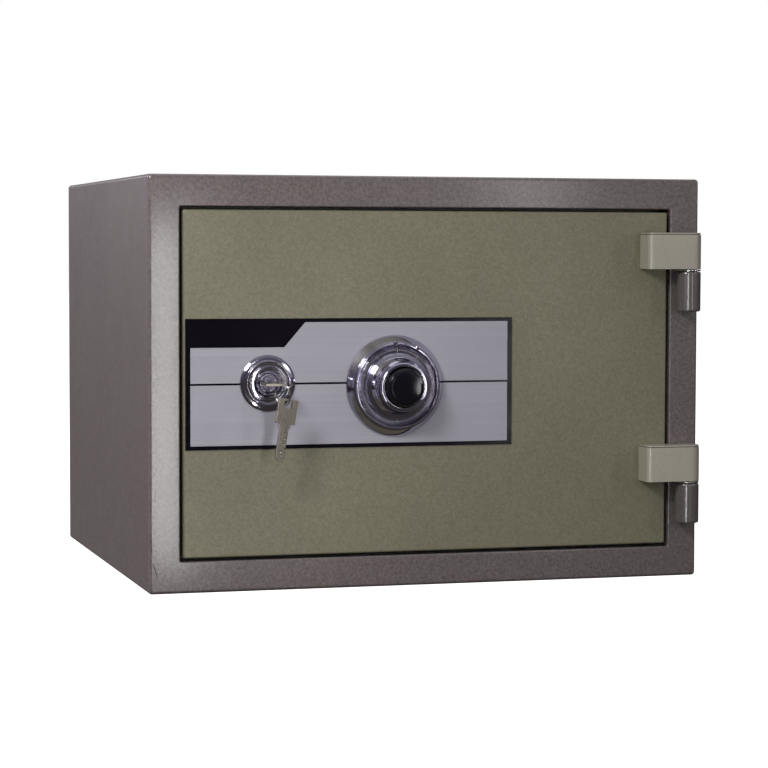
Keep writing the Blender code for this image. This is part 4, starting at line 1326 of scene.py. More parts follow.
@dataclass
class Hinge:
    """One front hinge: the arm on the door, and the washer and the knuckle on the frame."""

    place_name: str
    left: float = 169.0
    foot_right: float = 190.0
    axis_x: float = 205.5
    axis_depth: float = -9.8
    radius: float = 9.3
    pin_radius: float = 3.4
    foot_depth: float = 0.2
    front_corner: float = 4.2
    arm_edge: float = 0.7
    bore_reach: float = 23.0
    knuckle_gap: float = 1.8
    knuckle_length: float = 31.0
    knuckle_floor: float = 4.0
    washer_gap: float = 1.5
    washer_thickness: float = 1.2
    cap_gap: float = 0.45
    cap_height: float = 1.1
    cap_inset: float = 0.25
    cap_edge: float = 0.35
    waist_inset: float = 0.9

    @property
    def arm_low(self) -> float:
        """The height of the arm's underside."""
        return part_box(f"hinge_arm_{self.place_name}")[0].z / MM

    @property
    def arm_high(self) -> float:
        """The height of the arm's top."""
        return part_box(f"hinge_arm_{self.place_name}")[1].z / MM

    def build(self) -> None:
        """Build the arm, the knuckle and the washer."""
        self.arm()
        self.knuckle()
        self.washer()
        dress_nodes(ZINC_STEEL, f"hinge_pin_{self.place_name}")

    def arm(self) -> None:
        """The cast arm: a rounded front corner at the left, a flat face and a barrel at the right."""
        front, back = self.axis_depth - self.radius, self.axis_depth + self.radius
        corner = rounded([(self.left, self.foot_depth), (self.left, front), (self.axis_x, front)],
                         self.front_corner, closed=False, steps=8)
        barrel = [(self.axis_x + self.radius * math.sin(math.radians(angle)),
                   self.axis_depth - self.radius * math.cos(math.radians(angle))) for angle in range(6, 181, 6)]
        outline = corner + barrel + [(self.foot_right, back), (self.foot_right, self.foot_depth)]
        arm = drawn(f"arm_{self.place_name}", outline, (self.arm_low, self.arm_high), Axis.UP)
        soften(arm, self.arm_edge, segments=3, angle=50.0)
        combine(arm, "DIFFERENCE", rod("bore", self.pin_radius, (self.axis_x, self.axis_depth),
                                       (self.arm_low - 5.0, self.arm_low + self.bore_reach), Axis.UP))
        # The arm wears the door paint lightened as painted light.
        fit(arm, ARM_PAINT_WITH_PAINTED_LIGHT, Body.DOOR, f"hinge_arm_{self.place_name}")
        waist = self.arm_high + self.cap_gap
        # The near-black layer under the cap is the groove's painted shade.
        self.layer("arm_waist", outline, self.waist_inset, (self.arm_high - 0.3, waist), 0.0)
        self.layer("arm_cap", outline, self.cap_inset, (waist - 0.05, waist + self.cap_height), self.cap_edge)

    def layer(self, kind: str, outline: Sequence[Pair], inset: float, ends: Pair, rounding: float) -> None:
        """A thin layer on top of the arm, set in from its outline.

        Args:
            kind: the layer's name.
            outline: the arm's outline.
            inset: how far the layer is set in.
            ends: its underside and top.
            rounding: the width of its rounded edges. A layer without them is the groove, coloured near black as
                painted shade.
        """
        middle = Vector(((self.left + self.axis_x + self.radius) / 2, self.axis_depth))
        size = Vector(((self.axis_x + self.radius - self.left) / 2, self.radius))
        shape = [((x - middle.x) * (1 - inset / size.x) + middle.x,
                  (depth - middle.y) * (1 - inset / size.y) + middle.y) for x, depth in outline]
        layer = drawn(f"{kind}_{self.place_name}", shape, ends, Axis.UP)
        if rounding:
            soften(layer, rounding, segments=2, angle=50.0)
        # Rounded layers wear the arm paint lightened as painted light; a layer without rounding is the groove,
        # coloured near black as painted shade.
        fit(layer, ARM_PAINT_WITH_PAINTED_LIGHT if rounding else DARK_MARK_AND_GROOVE_SHADE, Body.DOOR)

    def knuckle(self) -> None:
        """The knuckle under the arm, with a rounded lower end and a foot welded to the frame."""
        top = self.arm_low - self.knuckle_gap
        low = top - self.knuckle_length
        knuckle = turned(f"knuckle_{self.place_name}", [
            (0.0, low), (self.radius, low), (self.radius, top), (self.pin_radius, top),
            (self.pin_radius, low + self.knuckle_floor), (0.0, low + self.knuckle_floor),
        ], (self.axis_x, self.axis_depth), Axis.UP, closed=False, rounding=1.6)
        combine(knuckle, "UNION", block("foot", (self.axis_x - 5.0, self.axis_x + 5.0),
                                        (self.axis_depth + 5.0, -0.3), (low + 2.0, top - 2.0)))
        fit(knuckle, KNUCKLE_PAINT, Body.ROOT, f"hinge_knuckle_{self.place_name}")

    def washer(self) -> None:
        """The bright washer that the arm turns on."""
        low = self.arm_low - self.washer_gap
        high = low + self.washer_thickness
        washer = turned(f"washer_{self.place_name}", [
            (self.pin_radius, low), (self.radius - 0.1, low), (self.radius - 0.1, high), (self.pin_radius, high),
        ], (self.axis_x, self.axis_depth), Axis.UP)
        fit(washer, ZINC_STEEL, Body.ROOT, f"hinge_washer_{self.place_name}")


@dataclass
class Interior:
    """What shows when the door is open: the jamb, the liner, the shelf on its ledges and the keeper."""

    shelf_low: float = 152.0
    shelf_front: float = 80.0
    shelf_back: float = 305.0
    lip: float = 1.6
    rib_count: int = 15
    rib_step: float = 20.0
    first_rib: float = -140.0
    rib_margin: float = 8.0

    def build(self) -> None:
        """Dress the moulded parts and build the ribbed shelf."""
        dress_nodes(LINER_PLASTIC, "door_jamb", "inner_liner", "shelf_ledge_left", "shelf_ledge_right")
        dress_nodes(ZINC_STEEL, "bolt_keeper")
        dress_nodes(CONCRETE, "body_insulation", "door_insulation")
        self.shelf()

    def shelf(self) -> None:
        """The shelf: a thin tray with a turned-down front lip and shallow ribs along it."""
        low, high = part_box("shelf")
        half = high.x / MM
        top = high.z / MM
        tray = drawn("shelf_tray", rounded([
            (self.shelf_front, low.z / MM), (self.shelf_front, top - 0.4), (self.shelf_back, top - 0.4),
            (self.shelf_back, self.shelf_low), (self.shelf_front + self.lip, self.shelf_low),
            (self.shelf_front + self.lip, low.z / MM),
        ], 0.6), (-half, half), Axis.ACROSS)
        fit(tray, LINER_PLASTIC, Body.ROOT, "shelf")
        rib = drawn("shelf_ribs", rounded([(-2.2, top - 0.6), (-1.4, top), (1.4, top), (2.2, top - 0.6)], 0.5),
                    (self.shelf_front + self.rib_margin, self.shelf_back - self.rib_margin), Axis.INWARDS)
        rib.data.transform(Matrix.Translation(Vector((self.first_rib * MM, 0.0, 0.0))))
        row_grower("shelf_rib_row").grow(rib, LINER_PLASTIC, count=self.rib_count,
                                         step=(self.rib_step * MM, 0.0, 0.0))
        fit(rib, LINER_PLASTIC, Body.ROOT)


# ---------------------------------------------------------------- the door

@dataclass
class DoorShell:
    """The door's painted skin, the pan on its back with its ribs and screws, and the seal."""

    half_width: float = 191.6
    low: float = 25.9
    high: float = 284.1
    face: float = 0.5
    rim: float = 20.6
    sheet: float = 1.2
    edge: float = 1.5
    plug_half: float = 158.0
    plug_low: float = 53.0
    plug_high: float = 257.0
    plug_back: float = 60.0
    pan_wall: float = 1.4
    flange: float = 20.9
    flange_half: float = 186.0
    flange_low: float = 31.0
    flange_high: float = 279.0
    bolt_hole: float = 7.6
    rib_half: float = 132.0
    rib_count: int = 9
    rib_step: float = 20.0
    first_rib: float = 75.0
    screw_spans: Pair = (364.0, 186.0)
    seal_half: float = 178.0
    seal_low: float = 38.5
    seal_high: float = 271.5
    seal_corner: float = 9.0

    def build(self) -> None:
        """Build the skin, the pan and the seal, and dress the rest."""
        self.skin()
        self.pan()
        self.seal()
        dress_nodes(BOLT_STEEL, "dead_bar")

    def skin(self) -> None:
        """The folded skin, rounded at its front edge, with the holes for the lock and the dial."""
        wall = self.sheet
        inner = self.half_width - wall
        loops = [Loop(inner, self.low + wall, self.high - wall, 1.0, self.face + wall),
                 Loop(inner, self.low + wall, self.high - wall, 1.0, self.rim),
                 Loop(self.half_width, self.low, self.high, 1.8, self.rim)]
        loops += front_rounding(self.half_width, self.low, self.high, self.edge, self.face, 1.8)
        skin = lofted("door_face", loops, closed=False)
        combine(skin, "DIFFERENCE", *lock_and_dial_holes())
        fit(skin, DOOR_PAINT, Body.DOOR, "door_skin")

    def pan(self) -> None:
        """The moulded pan with its flange, its ribbed back and the bolts' holes."""
        wall = self.pan_wall
        half, low, high = self.plug_half, self.plug_low, self.plug_high
        flange = (self.flange_half, self.flange_low, self.flange_high)
        flange_back = self.flange + wall
        loops = [
            Loop(half - wall, low + wall, high - wall, 5.0, self.plug_back - wall),
            Loop(half - wall, low + wall, high - wall, 5.0, self.flange),
            Loop(*flange, 4.0, self.flange), Loop(*flange, 4.0, flange_back),
            Loop(half + 1.4, low - 1.4, high + 1.4, 7.4, flange_back),
            Loop(half + 0.4, low - 0.4, high + 0.4, 6.4, flange_back + 0.5),
            Loop(half, low, high, 6.0, flange_back + 1.4), Loop(half, low, high, 6.0, self.plug_back - 2.5),
            Loop(half - 0.7, low + 0.7, high - 0.7, 5.3, self.plug_back - 0.7),
            Loop(half - 2.5, low + 2.5, high - 2.5, 4.0, self.plug_back),
        ]
        pan = lofted("door_pan", loops, closed=False)
        combine(pan, "DIFFERENCE", *(
            rod("bolt_hole", self.bolt_hole, (bolt_depth(), height), (-half - 5.0, -half + 5.0), Axis.ACROSS)
            for height in bolt_heights()))
        fit(pan, LINER_PLASTIC, Body.DOOR, "door_inner_pan")
        rib = drawn("pan_ribs", rounded([(-3.0, 0.0), (-1.8, 0.9), (1.8, 0.9), (3.0, 0.0)], 0.8, steps=3),
                    (-self.rib_half, self.rib_half), Axis.ACROSS)
        rib.data.transform(Matrix.Translation(place(0.0, self.plug_back - 0.05, self.first_rib)
                                              - Vector((0.0, FRONT_PLANE, 0.0))))
        row_grower("pan_rib_row").grow(rib, LINER_PLASTIC, count=self.rib_count,
                                       step=(0.0, 0.0, self.rib_step * MM))
        fit(rib, LINER_PLASTIC, Body.DOOR)
        head = screw_head("pan_screws", 3.2, 1.6)
        width, height = self.screw_spans
        corner_grower("pan_screw_corners").grow(head, ZINC_STEEL, width=width * MM, height=height * MM)
        head.data.transform(Matrix.Translation(place(0.0, flange_back + 0.3, (self.low + self.high) / 2)))
        fit(head, ZINC_STEEL, Body.DOOR, *(f"pan_screw_{side}_{level}" for side in ("left", "right")
                                           for level in ("bottom", "top")))

    def seal(self) -> None:
        """The rubber seal, with a rounded crown."""
        front, back = (corner.y / MM - FRONT_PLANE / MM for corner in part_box("door_seal"))
        loops = []
        for offset, depth in ((0.0, front), (0.0, back - 1.2), (0.8, back - 0.3), (2.0, back), (4.0, back),
                              (5.2, back - 0.3), (6.0, back - 1.2), (6.0, front)):
            loops.append(Loop(self.seal_half - offset, self.seal_low + offset, self.seal_high - offset,
                              self.seal_corner - offset, depth))
        fit(lofted("seal_strip", loops, closed=True), SEAL_RUBBER, Body.DOOR, "door_seal")


def bolt_heights() -> list[float]:
    """The heights of the four live bolts."""
    return [node_centre(f"bolt_{number}")[2] for number in (1, 2, 3, 4)]


def bolt_depth() -> float:
    """The depth of the live bolts' axes."""
    return node_centre("bolt_1")[1]


def lock_and_dial_holes(lock_radius: float = 10.1, dial_radius: float = 6.4) -> list[bpy.types.Object]:
    """Cutters for the holes that the lock's cylinder and the dial's tube pass through.

    Args:
        lock_radius: the radius of the lock's hole.
        dial_radius: the radius of the dial's hole.

    Returns:
        The cutters.
    """
    lock, dial = node_centre("lock_rosette"), node_centre("dial_cap")
    return [rod("lock_hole", lock_radius, (lock[0], lock[2]), (-5.0, 30.0), Axis.INWARDS),
            rod("dial_hole", dial_radius, (dial[0], dial[2]), (-5.0, 30.0), Axis.INWARDS)]


def screw_head(name: str, radius: float, height: float) -> bpy.types.Object:
    """A domed screw head with a cross recess, facing inwards, at the origin.

    Args:
        name: the piece's name.
        radius: the head's radius.
        height: its height.

    Returns:
        The object.
    """
    head = turned(name, [(0.0, 0.0), (radius, 0.0), (radius, 0.45 * height), (0.72 * radius, 0.88 * height),
                         (0.3 * radius, height), (0.0, height)], (0.0, 0.0), closed=False, steps=28, rounding=0.3)
    wide, narrow = 0.62 * radius, 0.13 * radius
    cross = [block("slot", (-wide, wide), (0.45 * height, 2 * height), (-narrow, narrow)),
             block("slot", (-narrow, narrow), (0.45 * height, 2 * height), (-wide, wide))]
    combine(head, "DIFFERENCE", *cross)
    head.data.transform(Matrix.Translation(Vector((0.0, -FRONT_PLANE, 0.0))))
    return head


@dataclass
class TrimPlate:
    """The trim plate behind the lock and the dial: a black base with two raised silver panels."""

    left: float = -190.0
    right: float = 64.0
    low: float = 106.3
    high: float = 203.5
    side_border: float = 3.7
    end_border: float = 2.9
    middle_low: float = 154.1
    middle_high: float = 155.6
    notch_low: float = 182.0
    notch_start: float = -115.1
    notch_end: float = -99.0
    base_depths: Pair = (-0.55, 0.2)
    panel_depths: Pair = (-0.8, -0.5)
    base_edge: float = 0.15
    panel_edge: float = 0.12

    def build(self) -> None:
        """Build the base and the panels."""
        base = drawn("trim_base", [(self.left, self.low), (self.right, self.low), (self.right, self.high),
                                   (self.left, self.high)], self.base_depths, Axis.INWARDS)
        soften(base, self.base_edge, segments=2)
        combine(base, "DIFFERENCE", *lock_and_dial_holes())
        fit(base, BLACK_PRINT, Body.DOOR, "trim_plate")
        left, right = self.left + self.side_border, self.right - self.side_border
        low, high = self.low + self.end_border, self.high - self.end_border
        self.panel("silver_panel_upper", [
            (left, self.middle_high), (right, self.middle_high), (right, high), (self.notch_end, high),
            (self.notch_start, self.notch_low), (left, self.notch_low),
        ])
        self.panel("silver_panel_lower", [(left, low), (right, low), (right, self.middle_low),
                                          (left, self.middle_low)])

    def panel(self, name: str, outline: Sequence[Pair]) -> None:
        """One raised silver panel.

        Args:
            name: the panel's name.
            outline: its corners.
        """
        panel = drawn(name, outline, self.panel_depths, Axis.INWARDS)
        soften(panel, self.panel_edge, segments=2)
        combine(panel, "DIFFERENCE", *lock_and_dial_holes())
        fit(panel, SILVER_PRINT, Body.DOOR)


@dataclass
class KeyLock:
    """The chrome rosette, the lock's cylinder and the plug that the key turns."""

    body_radius: float = 9.7
    bore_radius: float = 7.3
    plug_radius: float = 7.0
    keyway: Pair = (4.0, 1.3)
    keyway_end: float = 20.0
    rosette_section: Outline = (
        (11.6, -5.3), (12.9, -5.2), (13.3, -4.0), (14.2, -4.4), (16.2, -4.9), (16.9, -4.4), (17.2, -3.2),
        (19.2, -2.9), (20.8, -2.0), (21.25, -1.1), (10.1, -1.1), (10.1, -4.4), (11.2, -4.6))

    def build(self) -> None:
        """Build the three pieces."""
        x, _, z = node_centre("lock_rosette")
        axis = (x, z)
        rosette = turned("rosette", self.rosette_section, axis, steps=128, rounding=0.35)
        fit(rosette, LOCK_CHROME, Body.DOOR, "lock_rosette")
        front, back = ((corner.y - FRONT_PLANE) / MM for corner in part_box("lock_cylinder_body"))
        cylinder = turned("lock_cylinder", [
            (self.bore_radius, front + 0.4), (self.bore_radius + 0.4, front), (self.body_radius - 0.9, front),
            (self.body_radius - 0.6, front + 0.35), (self.body_radius, front + 0.5),
            (self.body_radius, back), (self.bore_radius, back),
        ], axis, rounding=0.15)
        fit(cylinder, LOCK_FACE, Body.DOOR, "lock_cylinder_body")
        face, tail = ((corner.y - FRONT_PLANE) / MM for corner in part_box("lock_plug"))
        plug = turned("plug", [
            (0.0, face + 0.35), (4.7, face + 0.35), (4.9, face + 0.15), (5.6, face + 0.15), (5.8, face),
            (self.plug_radius - 0.4, face), (self.plug_radius, face + 0.4), (self.plug_radius, tail), (0.0, tail),
        ], axis, closed=False, rounding=0.1)
        half_width, half_height = self.keyway
        combine(plug, "DIFFERENCE", block("keyway", (x - half_width, x + half_width), (-20.0, self.keyway_end),
                                          (z - half_height, z + half_height)))
        fit(plug, LOCK_FACE, Body.PLUG, "lock_plug")
        dress_nodes(ZINC_STEEL, "lock_cam")


@dataclass(frozen=True)
class Dimples:
    """A row of dimples in both faces of a key's blade: its place from the blade's shoulder and its drill.

    The drill's middle stands above the face by the lift. A mirrored row changes sides on the other face.
    """

    count: int
    across: float
    start: float
    lift: float
    radius: float
    stagger: float = 0.0
    step: float = 2.0
    mirrored: bool = False


@dataclass
class Keys:
    """The key in the lock, the split ring through its bow and the spare key that hangs from the ring."""

    bow: Pair = (15.7, 18.5)
    neck: Pair = (9.0, 3.4)
    blade: Pair = (7.0, 24.0)
    thickness: float = 2.0
    hole: Triple = (6.3, 1.6, 6.8)
    bevel: float = 0.3
    ring_centre: Triple = (-123.6, -29.7, 149.3)
    ring_radius: float = 9.3
    ring_wire: float = 0.7
    ring_turn: float = 69.0
    ring_lean: float = 8.0
    spare_place: float = 35.0
    spare_turn: float = 11.0
    spare_tilt: float = 10.0
    spare_grip: float = 3.8
    coil_turns: float = 1.97
    coil_wire: float = 0.36
    coil_packing: float = 0.98
    dimples: tuple[Dimples, ...] = (
        Dimples(5, 0.2, 3.4, 0.55, 1.3, stagger=1.3, mirrored=True),
        Dimples(1, 0.6, 17.2, 0.75, 1.6),
        Dimples(1, -1.0, 19.8, 0.35, 0.95),
    )

    def build(self) -> None:
        """Build the key, the ring and the spare key."""
        x, _, z = node_centre("lock_rosette")
        bow_end = (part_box("key")[0].y - FRONT_PLANE) / MM
        key = self.blank("main_key")
        key.data.transform(Matrix.Translation(place(x, bow_end, z)))
        fit(key, KEY_NICKEL, Body.KEY, "key")

        turn = Matrix((self.along, self.up, self.along.cross(self.up))).transposed().to_4x4()
        wire = self.ring_wire * self.coil_wire
        ring = coil_grower("split_ring_coil").grow(
            seed_object("split_ring"), RING_STEEL, turns=self.coil_turns,
            radius=(self.ring_radius + self.ring_wire / 2 - wire - 0.02) * MM,
            wire=wire * MM, pitch=2 * wire * self.coil_packing * MM)
        half_height = self.coil_turns * wire * self.coil_packing
        ring.data.transform(Matrix.Translation(Vector((0.0, 0.0, -half_height * MM))))
        ring.data.transform(Matrix.Translation(place(*self.ring_centre)) @ turn)
        fit(ring, RING_STEEL, Body.RING, "key_ring")

        spare = self.blank("hanging_key")
        face_turn, tilt = math.radians(self.spare_turn), math.radians(self.spare_tilt)
        face = Vector((math.sin(face_turn), -math.cos(face_turn), 0.0))
        side = Vector((math.cos(face_turn), math.sin(face_turn), 0.0))
        down = -math.cos(tilt) * Vector((0.0, 0.0, 1.0)) - math.sin(tilt) * side
        pose = Matrix((down.cross(face), down, face)).transposed().to_4x4()
        angle = math.radians(self.spare_place)
        reach = self.along * math.sin(angle) - self.up * math.cos(angle)
        grip = place(*self.ring_centre) + reach * self.ring_radius * MM
        spare.data.transform(Matrix.Translation(grip - down * self.spare_grip * MM) @ pose)
        fit(spare, KEY_NICKEL, Body.SPARE, "spare_key")

    @property
    def along(self) -> Vector:
        """The direction in the ring's plane that runs level, towards the front."""
        turn = math.radians(self.ring_turn)
        return Vector((math.cos(turn), -math.sin(turn), 0.0))

    @property
    def up(self) -> Vector:
        """The direction in the ring's plane that runs upwards.

        Returns:
            The direction, one unit long.
        """
        turn, lean = math.radians(self.ring_turn), math.radians(self.ring_lean)
        level = Vector((math.sin(turn), math.cos(turn), 0.0))
        return math.cos(lean) * Vector((0.0, 0.0, 1.0)) - math.sin(lean) * level

    def outline(self) -> list[Pair]:
        """The key's outline, from the bow's end round to the blade's tip and back.

        Returns:
            The outline's points.
        """
        bow, neck, blade = self.bow[0] / 2, self.neck[0] / 2, self.blade[0] / 2
        shoulder = self.bow[1] + self.neck[1]
        tip = shoulder + self.blade[1]
        half = rounded([(0.0, 0.0), (bow, 0.0), (bow, self.bow[1]), (neck, self.bow[1]), (neck, shoulder),
                        (blade, shoulder), (blade, tip - blade)], 0.6, closed=False, steps=4)
        half += [(blade * math.cos(math.radians(angle)), tip - blade + blade * math.sin(math.radians(angle)))
                 for angle in range(10, 90, 10)] + [(0.0, tip)]
        return half + [(-x, y) for x, y in reversed(half[1:-1])]

    def blank(self, name: str) -> bpy.types.Object:
        """A flat key with bevelled edges, a slot in its bow and dimples in its blade, in its own XY plane.

        Args:
            name: the piece's name.

        Returns:
            The object.
        """
        half = self.thickness / 2
        bm = bmesh.new()
        rings = [[bm.verts.new((x * MM, y * MM, z * MM)) for x, y in self.outline()] for z in (-half, half)]
        for ring in rings:
            bm.faces.new(ring)
        for number in range(len(rings[0])):
            following = (number + 1) % len(rings[0])
            bm.faces.new((rings[0][number], rings[0][following], rings[1][following], rings[1][number]))
        key = from_bmesh(name, bm)
        soften(key, self.bevel, segments=2, angle=60.0)
        width, start, end = self.hole
        bm = bmesh.new()
        bmesh.ops.create_cube(bm, size=1.0)
        bmesh.ops.scale(bm, vec=Vector((width, end - start, 3 * self.thickness)) * MM, verts=bm.verts)
        bmesh.ops.translate(bm, vec=Vector((0.0, (start + end) / 2, 0.0)) * MM, verts=bm.verts)
        combine(key, "DIFFERENCE", from_bmesh("slot", bm))
        shoulder = self.bow[1] + self.neck[1]
        grower = dimple_grower(f"{name}_dimples")
        for side in (-1.0, 1.0):
            for row in self.dimples:
                across = side * row.across if row.mirrored else row.across
                grower.grow(key, KEY_NICKEL, count=row.count,
                            start=(across * MM, (shoulder + row.start) * MM, side * (half + row.lift) * MM),
                            step=row.step * MM, stagger=row.stagger * MM, radius=row.radius * MM)
        return key


@dataclass
class CombinationDial:
    """The fixed chrome ring, and the graduated disc, the knob and the glossy cap that turn in it."""

    marks: Pair = (-3.0, 28.0)
    mark_radius: float = 32.2
    graduations: int = 100
    tens: int = 10
    ring_section: Outline = (
        (31.0, -10.8), (31.9, -10.7), (32.4, -9.0), (33.6, -8.4), (38.0, -2.4), (38.0, -1.1), (8.0, -1.1),
        (8.0, -5.2), (30.7, -5.2), (30.7, -10.4))
    disc_section: Outline = (
        (28.4, -9.7), (29.4, -9.7), (30.2, -9.0), (30.2, -5.6), (3.3, -5.6), (3.3, -8.6), (27.9, -8.6))
    knob_section: Outline = (
        (15.4, -28.1), (17.6, -28.0), (18.4, -27.1), (18.3, -25.3), (18.6, -20.8), (19.6, -16.3),
        (21.5, -13.3), (24.6, -11.4), (25.2, -10.0), (24.6, -8.9), (3.3, -8.9), (3.3, -26.8), (14.9, -26.8))
    cap_section: Outline = (
        (0.0, -34.1), (6.0, -34.0), (11.2, -33.7), (13.2, -33.0), (14.4, -31.0), (14.4, -27.1), (0.0, -27.1))

    @property
    def axis(self) -> Pair:
        """The x and z of the dial's axis."""
        x, _, z = node_centre("dial_cap")
        return x, z

    @property
    def centring(self) -> Matrix:
        """The move from the origin to the dial's axis."""
        x, z = self.axis
        return Matrix.Translation(Vector((x * MM, 0.0, z * MM)))

    def build(self) -> None:
        """Build the ring and all that turns."""
        ring = turned("dial_rim", self.ring_section, self.axis, steps=160, rounding=0.45)
        fit(ring, DIAL_CHROME, Body.DOOR, "dial_ring")
        for number, angle in enumerate(self.marks, 1):
            self.index_mark(number, math.radians(angle))
        disc = turned("dial_face", self.disc_section, self.axis, steps=160, rounding=0.35)
        fit(disc, DIAL_DARK, Body.DIAL, "dial_disc")
        knob = turned("knob", self.knob_section, self.axis, steps=128, rounding=1.6)
        fit(knob, DIAL_CHROME, Body.DIAL, "dial_knob")
        cap = turned("knob_cap", self.cap_section, self.axis, closed=False, rounding=1.2)
        fit(cap, CAP_GLOSS, Body.DIAL, "dial_cap")
        self.scale()
        dress_nodes(ZINC_STEEL, "dial_spindle", "spindle_tube")
        dress_nodes(BRASS, "drive_wheel")

    def index_mark(self, number: int, angle: float) -> None:
        """One raised index mark on the ring.

        Args:
            number: the mark's number.
            angle: its place round the ring, in radians from the top.
        """
        mark = block(f"index_mark_{number}", (-1.6, 1.6), (-11.7, -7.5),
                     (self.mark_radius - 1.7, self.mark_radius + 1.7))
        soften(mark, 0.6)
        mark.data.transform(self.centring @ Matrix.Rotation(angle, 4, "Y"))
        fit(mark, DIAL_CHROME, Body.DOOR)

    def scale(self) -> None:
        """The fine graduations and the tens round the disc."""
        short = block("graduations_fine", (-0.11, 0.11), (-8.66, -8.55), (26.5, 27.5))
        fan_grower("fine_graduation_fan").grow(short, DIAL_WHITE, count=self.graduations)
        short.data.transform(self.centring)
        fit(short, DIAL_WHITE, Body.DIAL)
        tall = block("graduations_tens", (-0.2, 0.2), (-8.68, -8.55), (25.9, 27.6))
        fan_grower("tens_graduation_fan").grow(tall, DIAL_WHITE, count=self.tens)
        tall.data.transform(self.centring)
        fit(tall, DIAL_WHITE, Body.DIAL)


@dataclass
class LockWork:
    """The steel and brass work on the back of the door, and the bolts that it throws."""

    bolt_radius: float = 7.0
    bolt_chamfer: float = 1.6
    screw_radius: float = 3.8
    screw_height: float = 2.2

    def build(self) -> None:
        """Dress the plates, wheels and screws, and build the bolts."""
        dress_nodes(ZINC_STEEL, "mechanism_plate", "bolt_guide", "wheel_case", "fence_pivot_pin",
                    "carriage_screw_lower", "carriage_screw_upper", "bolt_carriage")
        dress_nodes(BRASS, "wheel_1", "wheel_2", "wheel_3", "fence_lever")
        front = (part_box("plate_screw_top_left")[1].y - FRONT_PLANE) / MM - self.screw_height
        head = screw_head("plate_screws", self.screw_radius, self.screw_height)
        left, right = node_centre("plate_screw_top_left"), node_centre("plate_screw_bottom_right")
        corner_grower("plate_screw_corners").grow(head, ZINC_STEEL, width=(right[0] - left[0]) * MM,
                                                  height=(left[2] - right[2]) * MM)
        head.data.transform(Matrix.Translation(place((left[0] + right[0]) / 2, front,
                                                     (left[2] + right[2]) / 2)))
        fit(head, ZINC_STEEL, Body.DOOR, *(f"plate_screw_{level}_{side}" for level in ("bottom", "top")
                                           for side in ("left", "right")))
        for number, height in enumerate(bolt_heights(), 1):
            left_end, right_end = (corner.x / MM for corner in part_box(f"bolt_{number}"))
            radius, chamfer = self.bolt_radius, self.bolt_chamfer
            bolt = turned(f"live_bolt_{number}", [
                (0.0, left_end), (radius - chamfer, left_end), (radius, left_end + chamfer),
                (radius, right_end), (0.0, right_end),
            ], (bolt_depth(), height), Axis.ACROSS, closed=False, steps=64, rounding=0.8)
            fit(bolt, BOLT_STEEL, Body.BOLTS, f"bolt_{number}")


# ---------------------------------------------------------------- the studio

@dataclass(frozen=True)
class Lamp:
    """One soft area light."""

    name: str
    position: Triple
    aim: Triple
    size: Pair
    power: float
    colour: Colour = (1.0, 1.0, 1.0)
    only: tuple[str, ...] = ()
    spared: tuple[str, ...] = ()
    mirrored: bool = True

    def build(self) -> None:
        """Put the light in the scene, for all of it, for some pieces only, or with some pieces spared."""
        data = bpy.data.lights.new(self.name, "AREA")
        data.shape = "RECTANGLE"
        data.size, data.size_y = self.size
        data.energy = self.power
        data.color = self.colour
        lamp = bpy.data.objects.new(self.name, data)
        bpy.context.scene.collection.objects.link(lamp)
        direction = Vector(self.aim) - Vector(self.position)
        lamp.matrix_world = (Matrix.Translation(Vector(self.position))
                             @ direction.to_track_quat("-Z", "Y").to_matrix().to_4x4())
        lamp.visible_camera = False
        lamp.visible_glossy = self.mirrored
        if self.only or self.spared:
            receivers = bpy.data.collections.new(f"{self.name}_receivers")
            for name in self.only + self.spared:
                receivers.objects.link(bpy.data.objects[name])
            for member in receivers.collection_objects:
                member.light_linking.link_state = "INCLUDE" if self.only else "EXCLUDE"
            lamp.light_linking.receiver_collection = receivers


